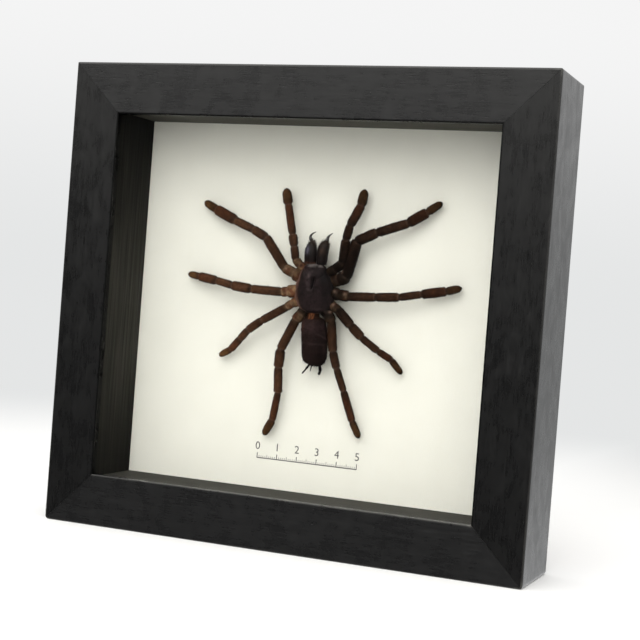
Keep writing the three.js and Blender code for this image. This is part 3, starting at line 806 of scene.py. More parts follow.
FLOOR_FADE = (0.1, 0.8)  # where the floor starts and ends fading into the room, in metres from the middle
DARK_WAY = (-0.367, -0.917, -0.15)  # towards the middle of the room's dark end
# Where the room's zones meet, as parts of a direction of length 1.
BEHIND = (-0.55, 0.35)  # Y, from the front room to the backdrop
BACK_RISE = (0.0, 0.2)  # Z, from the horizon to the backdrop
CEILING_RISE = (0.115, 0.32)  # Z, from the front room to the ceiling
DARK_EDGE = (0.64, 0.88)  # along DARK_WAY, from the front room to its dark end


def pale_floor():
    """White table top that fades into the light of the room far from the object."""
    stage = settings("stage_settings")
    finish = Finish("pale_floor")
    place = finish.node("ShaderNodeTexCoord").outputs["Object"]
    distance = finish.node("ShaderNodeVectorMath", {0: place}, operation="LENGTH").outputs["Value"]
    grain = finish.noise(finish.coordinates(), 60, 3)
    base = finish.blend(grain, scaled(stage.floor, 0.985), stage.floor)
    finish.shade(Base_Color=base, Roughness=0.6, Specular_IOR_Level=0.15)
    far = finish.smoothstep(distance, *FLOOR_FADE)
    glow = finish.node("ShaderNodeEmission", {"Color": room_light(finish, place)})
    joined = finish.node("ShaderNodeMixShader", {0: far, 1: finish.surface.outputs[0], 2: glow.outputs[0]})
    # The pane doesn't mirror the floor: only what is looked at directly and what the floor lights is pale.
    path = finish.node("ShaderNodeLightPath").outputs
    pale = finish.maths("MAXIMUM", path["Is Camera Ray"], finish.maths("MINIMUM", path["Diffuse Depth"], 1.0))
    unmirrored = finish.node("ShaderNodeMixShader", {0: pale, 2: joined.outputs[0]})
    finish.tree.links.new(unmirrored.outputs[0], finish.tree.nodes["Material Output"].inputs["Surface"])
    return finish.material


def room_light(finish, direction, seen=None):
    """Light of the room by direction: pale behind the object, dimmer in front of it, with one dark end.

    seen is 1 for what is looked at directly, which is pale all round. Without it the floor's far edge
    gets its light.
    """
    stage = settings("stage_settings")
    way = finish.node("ShaderNodeVectorMath", {0: direction}, operation="NORMALIZE").outputs["Vector"]
    parts = finish.node("ShaderNodeSeparateXYZ", {0: way})
    behind = finish.smoothstep(parts.outputs["Y"], *BEHIND)
    rise = finish.smoothstep(parts.outputs["Z"], *BACK_RISE)
    aside = finish.maths("MULTIPLY", finish.range(parts.outputs["X"], 0.05, 0.35), 0.42)
    aside = finish.maths("MULTIPLY", aside, behind)
    low = finish.maths("SUBTRACT", 1.0, finish.maths("MULTIPLY", rise, 0.6))
    back = finish.blend(finish.maths("MULTIPLY", aside, low), stage.horizon, (0.0, 0.0, 0.0))
    if seen is None:
        return back
    sunk = finish.range(parts.outputs["Z"], -0.09, -0.26)
    back = finish.blend(sunk, finish.blend(rise, back, stage.backdrop), stage.sunk)
    toward = finish.node("ShaderNodeVectorMath", {0: way, 1: DARK_WAY}, operation="DOT_PRODUCT")
    dark = finish.smoothstep(toward.outputs["Value"], *DARK_EDGE)
    high = finish.smoothstep(parts.outputs["Z"], *CEILING_RISE)
    front = finish.blend(high, finish.blend(dark, stage.room, stage.dark_end), stage.ceiling)
    return finish.blend(finish.maths("MAXIMUM", behind, seen), front, back)


# ---------------------------------------------------------------- the frame

RAIL_STATIONS = [0, 0.3, 0.7, 1.2, 2, 3.2, 5, 9, 20, 40, 70]  # distances from a mitre, in millimetres
MITRE_GAP = 0.06 * MM


CORNER_STEPS = 4
NEAR_MITRE = 3 * MM  # within this distance the rubbed edges are worn more
MITRE_WEAR = 4.0  # and by this factor


def eased_corner(u, v, du, dv, radius):
    """Points of a quarter turn about a corner (u, v) of a section; du and dv point into the wood."""
    rows = []
    for step in range(CORNER_STEPS + 1):
        angle = step / CORNER_STEPS * math.pi / 2
        rows.append((u + du * radius * (1 - math.sin(angle)), v + dv * radius * (1 - math.cos(angle))))
    return rows


def rail_section(arris, inner_edge_tone):
    """The rail's section as (u, v, wear): u runs in from the outer edge and v back from the front; a wear
    below zero is painted shade.
    """
    depth = BACK_FACE - FRONT_FACE
    lip = LIP_BACK - FRONT_FACE
    rows = [(u, v, 0.14) for u, v in reversed(eased_corner(0, 0, 1, 1, arris))]
    beside = [arris + 0.3 * MM, RAIL_FACE * 0.3, RAIL_FACE * 0.7, RAIL_FACE - arris - 0.2 * MM]
    rows += [(u, 0, 0) for u in beside]
    rows += [(u, v, inner_edge_tone) for u, v in eased_corner(RAIL_FACE, 0, -1, 1, arris * 0.45)]
    rows += [(RAIL_FACE, arris + 0.2 * MM, -1), (RAIL_FACE, lip, -1), (REBATE, lip, 0), (REBATE, depth, 0)]
    rows += [(REBATE * 0.5, depth, 0), (arris + 0.9 * MM, depth, 0)]
    rows += [(u, v, 0.3) for u, v in eased_corner(0, depth, 1, -1, arris)]
    rows += [(0, v, 0) for v in (depth - arris - 0.9 * MM, depth * 0.7, depth * 0.35, arris + 0.9 * MM)]
    return rows


def worn_corner(x, z):
    """Pulls a point (x, z) near an outer corner of the frame in to the worn, rounded corner."""
    half_height = TOP_EDGE / 2
    side_x = 1 if x > 0 else -1
    side_z = 1 if z > half_height else -1
    radius = CORNER_WEAR[side_x, side_z] * 1.7 * MM
    from_x = RIGHT_EDGE - abs(x)
    from_z = half_height - abs(z - half_height)
    if from_x < radius and from_z < radius:
        a, b = radius - from_x, radius - from_z
        reach = math.hypot(a, b)
        if reach > radius:
            a, b = a * radius / reach, b * radius / reach
        x = side_x * (RIGHT_EDGE - radius + a)
        z = half_height + side_z * (half_height - radius + b)
    return x, z


def rail_piece(side, material):
    """One mitred rail, swept along its length and turned to its side of the frame."""
    # The inner edge is painted shade, dull black, on the top and side rails; on the bottom rail it is
    # lighter.
    section = rail_section(settings("case_settings").arris, 0.5 if side == "bottom" else -0.8)
    half_span, half_length = RIGHT_EDGE, TOP_EDGE / 2
    if side in ("top", "bottom"):
        half_span, half_length = half_length, half_span
    near = [s * MM for s in RAIL_STATIONS]
    offsets = near + [half_length] + [2 * half_length - s for s in reversed(near)]
    rings, wear_and_shade = [], []
    for offset in offsets:
        ring = []
        near_end = min(offset, 2 * half_length - offset) < NEAR_MITRE
        # Each section point's edge value: rubbed edges above zero, painted shade below zero.
        for u, v, worn in section:
            along = (half_length - u - MITRE_GAP) * (1 - offset / half_length)
            ring.append(place_on_side(side, half_span, u, v, along))
            wear_and_shade.append(worn * (MITRE_WEAR if near_end and worn > 0 else 1.0))
        rings.append(ring)
    points, faces = loft_open(np.array(rings))
    piece = make_piece(f"wood_rail_{side}", points, faces, material, smooth=False)
    attribute = piece.data.attributes.new("wear_and_shade", "FLOAT", "POINT")
    attribute.data.foreach_set("value", np.clip(np.array(wear_and_shade), -1, 1))
    smooth_by_angle(piece)
    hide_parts(f"frame_rail_{side}")


def place_on_side(side, half_span, u, v, along):
    """A point of the rail's section, set on its side of the frame."""
    out = (half_span - u) * (-1 if side in ("left", "bottom") else 1)
    x, up = (out, along) if side in ("left", "right") else (along, out)
    x, z = worn_corner(x, TOP_EDGE / 2 + up)
    return (x, FRONT_FACE + v, z)


def loft_open(rings):
    """Like loft, but each end is one flat face."""
    count, sides = rings.shape[:2]
    points = rings.reshape(-1, 3)
    faces = walls(count, sides)
    turned = outward(points - points.mean(0), faces)
    flipped = turned is not faces
    start = tuple(range(sides))
    end = tuple(range((count - 1) * sides, count * sides))
    turned.append(start if flipped else start[::-1])
    turned.append(end[::-1] if flipped else end)
    return points, turned


SHARP_BEND = math.radians(35)


def smooth_by_angle(piece):
    """Rounds the shading over soft bends and keeps it crisp at sharp ones."""
    working = bmesh.new()
    working.from_mesh(piece.data)
    for edge in working.edges:
        edge.smooth = not (edge.is_manifold and edge.calc_face_angle(0) > SHARP_BEND)
    for face in working.faces:
        face.smooth = True
    working.to_mesh(piece.data)
    working.free()


def dress(node_names, material):
    """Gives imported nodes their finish."""
    for name in node_names:
        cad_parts[name].material_slots[0].material = material


# ---------------------------------------------------------------- the printed scale

INK_LIFT = 0.04 * MM  # front of the ink before the card
LINE = 0.22 * MM  # half the thickness of the scale's line
THICK_TICK, THIN_TICK = 0.2 * MM, 0.11 * MM  # half widths at the centimetres and between them
TALL_TICK, HALF_TICK, SHORT_TICK = 2.4 * MM, 1.8 * MM, 1.1 * MM
DIGIT_BASE = 4.0 * MM  # foot of the digits above the line
CAP_HEIGHT = 0.7  # height of a digit against the size of its type
BOX_FACES = [(0, 1, 3, 2), (4, 6, 7, 5), (0, 4, 5, 1), (2, 3, 7, 6), (0, 2, 6, 4), (1, 5, 7, 3)]


def scale_print():
    """A plain centimetre scale on the card: a line, ticks and the digits 0 to 5."""
    case = settings("case_settings")
    material = printing_ink()
    y0, y1 = CARD_FACE - INK_LIFT, CARD_FACE - 0.005 * MM
    points, faces = [], []

    def stroke(x0, x1, z0, z1):
        start = len(points)
        points.extend((x, y, z) for x in (x0, x1) for y in (y0, y1) for z in (z0, z1))
        faces.extend(tuple(start + i for i in quad) for quad in BOX_FACES)

    left = -case.scale_length / 2
    base = case.scale_height
    stroke(left - THICK_TICK, -left + THICK_TICK, base - LINE, base + LINE)
    millimetres = round(case.scale_length / MM)
    for tick in range(millimetres + 1):
        tall = TALL_TICK if tick % 10 == 0 else HALF_TICK if tick % 5 == 0 else SHORT_TICK
        thick = THICK_TICK if tick % 10 == 0 else THIN_TICK
        x = left + tick * MM
        stroke(x - thick, x + thick, base + LINE, base + tall)
    make_piece("scale_line", points, faces, material, smooth=False)

    for digit in range(millimetres // 10 + 1):
        curve = bpy.data.curves.new(f"digit_{digit}", "FONT")
        curve.body = str(digit)
        curve.size = case.digit_height / CAP_HEIGHT
        curve.align_x = "CENTER"
        curve.extrude = INK_LIFT / 2
        curve.resolution_u = 6
        writer = add_object(f"digit_writer_{digit}", curve)
        bpy.context.view_layer.update()
        mesh = bpy.data.meshes.new_from_object(writer)
        bpy.data.objects.remove(writer)
        upright = Matrix.Rotation(math.pi / 2, 4, "X")
        place = Matrix.Translation((left + digit * 10 * MM, CARD_FACE - INK_LIFT / 2, base + DIGIT_BASE))
        mesh.transform(place @ upright)
        mesh.materials.clear()
        mesh.materials.append(material)
        join_part(add_object(f"scale_digit_{digit}", mesh))


# ---------------------------------------------------------------- the spider's body


def body_rings(sections, rows, sides, squeeze):
    """Rings in metres over a body's smooth sections, with their angles and the table of the sections.

    squeeze is how far the skin lies inside the sections, in millimetres.
    """
    table = through(sections, rows)
    angles = round_angles(sides)
    cos, sin = np.cos(angles), np.sin(angles)
    full = np.sign(sin) * np.abs(sin) ** 0.92
    x = table[:, 0:1] + cos * (table[:, 2:3] - squeeze) * np.where(sin < 0, 1 + 0.1 * sin, 1)
    heights = np.where(sin > 0, table[:, 3:4], table[:, 4:5]) - squeeze
    y = -full * heights
    z = np.repeat(table[:, 1:2], sides, axis=1)
    rings = np.stack([x * MM, CARD_FACE - BODY_LIFT * MM + y * MM, z * MM], axis=-1)
    return rings, angles, table


CAP_ROWS = 5


def close_ends(rings, bulge):
    """Adds a rounded cap beyond each end of a row of rings; bulge is its height in metres."""
    def cap(ring, away):
        middle = ring.mean(0)
        rows = []
        for step in range(1, CAP_ROWS + 1):
            angle = step / (CAP_ROWS + 1) * math.pi / 2
            rows.append(middle + (ring - middle) * math.cos(angle) + away * bulge * math.sin(angle))
        return rows

    start = unit(rings[0].mean(0) - rings[1].mean(0))
    end = unit(rings[-1].mean(0) - rings[-2].mean(0))
    before = cap(rings[0], start)[::-1]
    after = cap(rings[-1], end)
    return np.concatenate([np.array(before), rings, np.array(after)])


def ring_normals(rings):
    """Rough outward directions of ring points, away from each ring's middle."""
    return unit(rings - rings.mean(1, keepdims=True))


def carapace_relief(x, z):
    """Height of the carapace's carving in millimetres at places x, z, for its upper side."""
    fovea_x, fovea_z, half_width, half_length = FOVEA
    dz = z - fovea_z
    dx = x - fovea_x - FOVEA_LEAN * dz
    half_width = half_width * (1 + 0.4 * np.clip(dz / 2.5, -1, 1))
    height = -1.3 * bump(dx / half_width) * ease((half_length + 0.6 - np.abs(dz)) / 1.8)
    height += 0.22 * bump((np.abs(dx) - 1.2) / 0.6) * bump(dz / 3.2)
    # Two grooves run forwards and outwards from the fovea and bound the raised head.
    forward = z - (fovea_z + 0.4)
    groove = np.abs(dx) - (0.7 + 0.98 * forward)
    depth = np.where(dx > 0, 0.08, 0.15)
    height -= depth * bump(groove / 0.7) * ease(forward / 1.4) * ease((7.6 - forward) / 2)
    height += 0.2 * ease(-groove / 1.6) * ease(forward / 2) * ease((8.2 - forward) / 2)
    # Shallow furrows run out from the fovea between the legs.
    angle = np.arctan2(-dz, np.abs(dx))
    reach = np.hypot(dx, dz)
    for way in (-0.25, 0.32, 0.95):
        height -= 0.12 * bump((angle - way) / 0.17) * ease((reach - 1.8) / 1.5)
    # The eyes stand on a low mound at the front edge.
    eye_x, eye_z, eye_width, eye_length = EYE_MOUND
    height += 0.85 * bump((x - eye_x) / (eye_width * 0.75)) * bump((z - eye_z) / (eye_length * 0.75))
    return height


def swell(rings, height):
    """Rings moved outwards by a height in millimetres at each point."""
    return rings + ring_normals(rings) * (height * MM)[..., None]


EYE_BLACK = (0.007, 0.005, 0.005)
GROOVE_DARK_AND_SHADE = (0.002, 0.0015, 0.0015)
GROOVE_RIDGE_HIGHLIGHT = (0.06, 0.043, 0.043)  # painted highlight on the ridge round the groove


def make_cephalothorax(skin, hair):
    """The carapace with its carving, rim, pale front edge and groove."""
    spider = settings("spider_settings")
    rings, angles, table = body_rings(CEPHALOTHORAX, 170, 168, 0.06)
    x, z = rings[..., 0] / MM, rings[..., 2] / MM
    upper = ease((np.sin(angles) - 0.06) / 0.3)[None, :]
    across = np.abs(x - table[:, 0:1]) / table[:, 2:3]
    relief = carapace_relief(x, z) * upper * ease((1.0 - across) / 0.12)
    rim = bump((across - 0.965) / 0.02) * 0.1 - bump((across - 0.925) / 0.02) * 0.16
    relief = relief + rim * (np.sin(angles) > -0.05)[None, :]
    lumps = lumps_on(rings, 420) * 0.15
    points, faces = loft(close_ends(swell(rings, relief + lumps), 0.5 * MM))

    px, pz = points[:, 0] / MM, points[:, 2] / MM
    height = (CARD_FACE - points[:, 1]) / MM - BODY_LIFT
    dome = ease((height - 1.2) / 2.2)
    tint = mix(spider.carapace_side, spider.carapace, dome)
    # How far out a point lies, also on the rounded caps; the two middles of the caps come last.
    caps = (across[:1].repeat(CAP_ROWS, 0), across[-1:].repeat(CAP_ROWS, 0))
    outness = np.append(np.concatenate([caps[0], across, caps[1]]).ravel(), [0, 0])
    # The brown rim is put on the left side only and made light: its own brown, painted lighter where the
    # light falls; the right rim stays dark.
    left = ease((FOVEA[0] - px - 3) / 3) * ease((height + 1) / 1.5)
    rim_patch = 0.75 + 0.5 * roughness_at(points, 400, 4.0)
    brown = 1.3 * ease((outness - 0.7) / 0.12) * left * rim_patch
    tint = mix(tint, spider.carapace_rim, np.clip(brown, 0, 1))
    front = ease((pz - 126.9) / 0.6) * ease((height - 1.2) / 1.2)
    front = front * ease((px + 2.2) / 1.2) * ease((6.0 - px) / 1.0) * (1 - 0.8 * bump((px - 3.1) / 0.5))
    eyes = bump((px - EYE_MOUND[0]) / 1.5) * bump((pz - EYE_MOUND[1] + 0.3) / 0.8)
    tint = mix(tint, spider.carapace_front, np.clip(front * 0.85, 0, 1))
    tint = mix(tint, EYE_BLACK, np.clip(eyes * 1.1, 0, 1))
    # The groove is painted near black: its own dark skin and painted shade in the pit.
    slit_width = FOVEA[2] * (1.15 + 0.45 * np.clip((pz - FOVEA[1]) / 2.5, -1, 1))
    slit = bump((px - FOVEA[0] - FOVEA_LEAN * (pz - FOVEA[1])) / slit_width)
    slit = slit * ease((FOVEA[3] + 0.6 - np.abs(pz - FOVEA[1])) / 1.6)
    tint = mix(tint, GROOVE_DARK_AND_SHADE, slit * ease(height / 2))
    # Painted highlight: a paler ring on the ridge left of the groove, on the top of the carapace, where it
    # faces the light.
    ring = bump((np.hypot((px - 1.4) * 1.1, (pz - 120.5) * 0.62) - 2.4) / 0.9) * ease((2.6 - px) / 1.5)
    ridge_highlight = 0.75 * ring * dome * (1 - slit) * (0.5 + roughness_at(points, 520, 2.5))
    tint = mix(tint, GROOVE_RIDGE_HIGHLIGHT, ridge_highlight)
    shade = ease((px - 4.4) / 2) * bump((pz - 123.5) / 5.5) + 0.45 * ease((px - 4) / 4)
    shade = shade + 0.7 * bump((px + 3.9) / 1.3) * bump((pz - 121) / 7)
    mottle = 1 + 0.6 * roughness_at(points, 420, 8.0) + 0.55 * roughness_at(points, 950, 3.0)
    tint = tint * ((1 - 0.65 * np.clip(shade, 0, 1)) * mottle)[:, None]
    under = ease(-height / 2.5)
    tint = mix(tint, spider.coxa, under * 0.6)
    piece = make_piece("carapace", points, faces, skin, tint)
    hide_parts("cephalothorax")

    comb = unit(np.stack([px - FOVEA[0], np.zeros_like(px), pz - FOVEA[1]], axis=-1))
    keep = ease((height + 2) / 2) * (1 - 0.9 * slit)
    edge = bump((np.abs(px - 1.3) - 8.3) / 0.8) * ease((height + 1.5) / 1.5) * ease((2 - height) / 1)
    plant_hairs("carapace_down", "carapace_down", piece, comb, hair, weight=keep)
    plant_hairs("carapace_fringe", "carapace_fringe", piece, comb, hair, weight=front + 1.2 * edge)


# One eye of each pair: x and z from the middle of the mound, and radius.
EYES = [(0.42, 0.12, 0.3), (0.95, 0.38, 0.24), (0.98, -0.3, 0.24), (0.62, -0.36, 0.2)]
EYE_LIFT = 4.75  # of the mound's top above the body's middle
EYE_SHAPE = (1, 0.8, 0.9, 1)


def make_eyes(horn):
    """Eight glassy eyes on the mound, in two close rows."""
    eye_x, eye_z = EYE_MOUND[:2]
    working = bmesh.new()
    for dx, dz, radius in [(side * x, z, radius) for x, z, radius in EYES for side in (-1, 1)]:
        drop = 0.75 * (1 - math.exp(-((dx / 1.1) ** 2) - (dz / 0.7) ** 2))
        middle = ((eye_x + dx) * MM, CARD_FACE - (BODY_LIFT + EYE_LIFT - drop) * MM, (eye_z + dz) * MM)
        place = Matrix.Translation(middle) @ Matrix.Diagonal(EYE_SHAPE)
        bmesh.ops.create_icosphere(working, subdivisions=3, radius=radius * MM, matrix=place)
    mesh = finished_mesh("eyes", working, horn)
    mesh.polygons.foreach_set("use_smooth", [True] * len(mesh.polygons))
    join_part(add_object("eyes", mesh))


CREASES = ((99.6, 0.16), (97.2, 0.26), (95.8, 0.14), (92.5, 0.1), (88.5, 0.12), (85.4, 0.18))  # z, depth
WARM_FRONT = (0.03, 0.0175, 0.0175)
RUSTY_FLANK = (0.045, 0.019, 0.014)
CREASE_HIGHLIGHT = (0.04, 0.027, 0.026)
SPINNERET_BLACK = (0.009, 0.007, 0.007)


def make_abdomen(skin, hair):
    """The creased abdomen with its bare waist and the spinnerets, which are one skin with it."""
    spider = settings("spider_settings")
    rings, angles, table = body_rings(ABDOMEN, 150, 104, 0.12)
    x, z = rings[..., 0] / MM, rings[..., 2] / MM
    upper = ease((np.sin(angles) + 0.2) / 0.5)[None, :]
    main = ease((103 - z) / 2) * ease((z - 82) / 2)
    sag = 0.6 * np.cos(np.clip((x - table[:, 0:1]) / 7, -1, 1) * math.pi / 2)
    creases = np.zeros_like(x)
    for middle, depth in CREASES:
        creases -= depth * bump((z - middle + sag * 1.4) / 0.42)
    drawn = roughness_at(np.stack([x * 0.13, z * 0.05, x * 0], -1).reshape(-1, 3), 1.0, 7.3).reshape(x.shape)
    relief = (creases * upper + 0.5 * drawn * upper) * main + 0.12 * lumps_on(rings, 300, 3.1)
    points, faces = loft(close_ends(swell(rings, relief), 0.6 * MM))

    px, pz = points[:, 0] / MM, points[:, 2] / MM
    waist = ease((pz - 103) / 1)
    aside = np.abs(px - 1.2)
    fork = bump((aside - 0.25 * (pz - 103)) / 0.3)
    bare = np.array(spider.waist) * ((1 - 0.75 * fork) * (1 - 0.9 * ease((aside - 0.9) / 0.7)))[:, None]
    tint = mix(spider.abdomen, bare, waist)
    warm = bump((pz - 100) / 2.5) * ease((CARD_FACE - points[:, 1]) / MM - BODY_LIFT)
    tint = mix(tint, WARM_FRONT, np.clip(warm * 0.8, 0, 1) * (1 - waist))
    flank = ease((-0.4 - px) / 2) * bump((pz - 99.5) / 3)
    tint = mix(tint, RUSTY_FLANK, 0.75 * flank * (1 - waist))
    # Painted highlight: paler bands along two of the creases.
    ring = bump((pz - 97.4 + 0.05 * (px - 2.5) ** 2) / 0.5) + 0.7 * bump((pz - 92.3) / 0.5)
    ring = np.clip(ring * (0.4 + roughness_at(points, 260, 5.0)), 0, 0.6)
    # Painted light: the abdomen lighter on its left and darker towards its right, as the light falls.
    tint = tint * (1.25 - 0.6 * ease((px - 0.5) / 7))[:, None]
    tint = mix(tint, CREASE_HIGHLIGHT, ring * (1 - waist))
    comb = np.tile([0.0, 0.0, -1.0], (len(points), 1))
    keep = 1 - 0.97 * waist

    for route, root, tip in SPINNERETS:
        more_points, more_faces = thorn(route, root, tip, 30, 16, beads=3)
        count = len(more_points)
        faces = list(faces) + [tuple(i + len(points) for i in face) for face in more_faces]
        points = np.concatenate([points, more_points])
        tint = np.concatenate([tint, np.tile(SPINNERET_BLACK, (count, 1))])
        direction = unit(more_points[-1:] - more_points[-2:-1])
        comb = np.concatenate([comb, np.tile(direction, (count, 1))])
        keep = np.concatenate([keep, np.full(count, 0.5)])
    piece = make_piece("abdomen_skin", points, faces, skin, tint)
    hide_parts("abdomen")
    plant_hairs("abdomen_velvet", "abdomen_velvet", piece, comb, hair, weight=keep)
    behind = ease((101 - np.append(pz, np.full(len(points) - len(pz), 79.0))) / 2)
    plant_hairs("abdomen_bristles", "abdomen_bristles", piece, comb, hair, weight=keep * behind)


def path_ways(centres):
    """Directions along and across a path; the second ones lie level with the card."""
    ways = unit(np.gradient(centres, axis=0))
    return ways, unit(np.stack([ways[:, 2], np.zeros(len(ways)), -ways[:, 0]], axis=-1))


def tube(centres, across, away, wide, thick):
    """Rings round a path; wide and thick are the shares of its two directions at each point, in metres."""
    return centres[:, None] + across[:, None] * wide[..., None] + away[:, None] * thick[..., None]


def thorn(route, root, tip, rows, sides, beads=0):
    """Points and faces of a tapering round horn along a smooth route given as [x, z, lift]."""
    path = through(route, rows)
    centres = np.stack([path[:, 0] * MM, CARD_FACE - path[:, 2] * MM, path[:, 1] * MM], axis=-1)
    ways, across = path_ways(centres)
    share = np.linspace(0, 1, rows)
    radius = (root + (tip - root) * share) * MM
    if beads:
        radius = radius * (1 - 0.16 * np.abs(np.cos(share * beads * math.pi)) ** 6)
    radius = radius * np.sqrt(np.clip(1 - np.clip((share - 0.93) / 0.07, 0, 0.985) ** 2, 0, 1))
    angles, radius = round_angles(sides), radius[:, None]
    wide, thick = np.cos(angles) * radius, np.sin(angles) * radius
    return loft(tube(centres, across, np.cross(ways, across), wide, thick))


# The sheen on each jaw: colour, x of its middle and half width.
JAW_SHEENS = (((0.09, 0.08, 0.11), -2.6, 0.8), ((0.034, 0.019, 0.0125), 4.4, 1.1))
JAW_TIP = (0.02, 0.013, 0.009)
JAW_ROOT = (0.045, 0.021, 0.014)  # of the left jaw alone


def make_jaws(skin, hair):
    """The two chelicerae, hairy towards their tips."""
    spider = settings("spider_settings")
    for number, (name, sections) in enumerate(CHELICERAE.items()):
        rings, angles, table = body_rings(sections, 80, 72, 0.1)
        x, z = rings[..., 0] / MM, rings[..., 2] / MM
        lumps = lumps_on(rings, 500, number * 5.0) * 0.1
        turn = np.sin(angles)[None, :]
        ridge = 0.14 * bump((x - table[:, 0:1] - 0.4) / 0.5) * ease(turn / 0.4)
        furrow = -0.2 * bump((x - table[:, 0:1] + 0.9) / 0.35) * ease(turn / 0.4) * ease((137 - z) / 2)
        points, faces = loft(close_ends(swell(rings, lumps + ridge + furrow), 0.45 * MM))
        px, pz = points[:, 0] / MM, points[:, 2] / MM
        sheen, spot, spread = JAW_SHEENS[number]
        stripe = bump((px - spot) / spread) * bump((pz - 134.8) / 1.6)
        tint = mix(spider.jaw, sheen, np.clip(stripe * 1.1, 0, 1))
        tint = mix(tint, JAW_TIP, ease((pz - 136.5) / 2))
        # Painted shade between the two jaws, darkening their inner sides where they meet.
        between = bump((px - 1.15) / 0.8) * ease((133.5 - pz) / 2)
        tint = tint * (1 - 0.85 * between)[:, None]
        tint = mix(tint, JAW_ROOT, ease((130.0 - pz) / 1.2) * (number == 0))
        piece = make_piece(f"{name}_skin", points, faces, skin, tint)
        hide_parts(name)
        comb = np.tile([0.0, 0.0, 1.0], (len(points), 1))
        plant_hairs(f"{name}_down", "jaw_down", piece, comb, hair, number)
        plant_hairs(f"{name}_fringe", "jaw_fringe", piece, comb, hair, number, 0.08 + ease((pz - 136) / 2.5))


def make_fangs(horn):
    """The two hooked fangs."""
    for name, (route, root, tip) in FANGS.items():
        points, faces = thorn(route, root, tip, 48, 24)
        piece = make_piece(f"{name}_horn", points, faces, horn)
        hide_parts(name)


# ---------------------------------------------------------------- the spider's limbs

SHOULDER = 1.5  # distance from a joint to the full width of the segment beyond it, in millimetres
COLLAR = 0.7  # the same on the near side of a joint, where a segment ends more sharply
PINCH = 0.8  # width at a joint against the thinner of its two segments
BODY_PINCH = 0.95  # the same at the joints by the body
BODY_JOINTS = 2  # how many of them there are
FLATNESS = 0.92  # thickness of a limb against its width
BEND = 1.6  # distance over which a bend is rounded on each side of its joint
BEND_SHARE = 0.36  # the most of a short segment that a bend or a shoulder takes
COLLAR_SHARE = 0.2  # the most of it that a collar takes
ROOT_WIDTH = 0.9  # width at the body against the first segment's
SWELLING = 0.035  # how much wider a segment is in its middle
TIP_ROUNDING = 0.55  # how far from its end the foot is rounded off, against its width
TIP_TAPER = 0.2  # how much narrower the foot is there
TIP_LEFT = 0.004  # square of the width that is left at the very tip
FAR = 9  # distance that counts as far from any joint
FURROWS = ((-0.95, 0.13), (-1.55, 0.09), (-2.2, 0.13), (-0.2, 0.08), (2.95, 0.08))  # angle, depth in mm


def limb_rows(joints, girths, step):
    """Rows along a limb: middle, width, segment, share of it and distance to its nearer joint.

    The middle is in metres, and the widths and distances are in millimetres.
    """
    spots = [np.array([x * MM, CARD_FACE - lift * MM, z * MM]) for x, z, lift in joints]
    ways = [unit(b - a) for a, b in zip(spots, spots[1:])]
    rows = []
    for i, girth in enumerate(girths):
        size = np.linalg.norm(spots[i + 1] - spots[i]) / MM
        last = i + 1 == len(girths)
        steps = max(10, round(size * MM / step))
        bend, shoulder = min(BEND, size * BEND_SHARE), min(SHOULDER, size * BEND_SHARE)
        collar = min(COLLAR, size * COLLAR_SHARE)
        start, end = ROOT_WIDTH, None
        if i > 0:
            start = (BODY_PINCH if i <= BODY_JOINTS else PINCH) * min(girth, girths[i - 1]) / girth
        if not last:
            end = (BODY_PINCH if i < BODY_JOINTS else PINCH) * min(girth, girths[i + 1]) / girth
        for k in range(steps + last):
            share = k / steps
            behind, ahead = share * size, (1 - share) * size
            middle = spots[i] + ways[i] * behind * MM
            if i > 0 and behind < bend:
                middle = rounded(spots[i], ways[i - 1], ways[i], bend, 0.5 + 0.5 * behind / bend)
            if not last and ahead < bend:
                middle = rounded(spots[i + 1], ways[i], ways[i + 1], bend, 0.5 - 0.5 * ahead / bend)
            width = girth * (start + (1 - start) * math.sin(min(behind / shoulder, 1) * math.pi / 2))
            if not last:
                close = math.sin(min(ahead / collar, 1) * math.pi / 2)
                width = min(width, girth * (end + (1 - end) * close))
            width *= 1 + SWELLING * math.sin(math.pi * share)
            if last:
                past = max(0, 1 - ahead / (girth * TIP_ROUNDING))
                width *= math.sqrt(max(TIP_LEFT, 1 - past * past)) * (1 - TIP_TAPER * share * share)
            nearest = min(behind if i > 0 else FAR, FAR if last else ahead)
            rows.append((middle, width, i, share, nearest))
    return rows


def rounded(corner, before, after, bend, share):
    """A point on the rounded bend at a corner, from share 0 before it to 1 after it."""
    start, end = corner - before * bend * MM, corner + after * bend * MM
    return (1 - share) ** 2 * start + 2 * share * (1 - share) * corner + share**2 * end


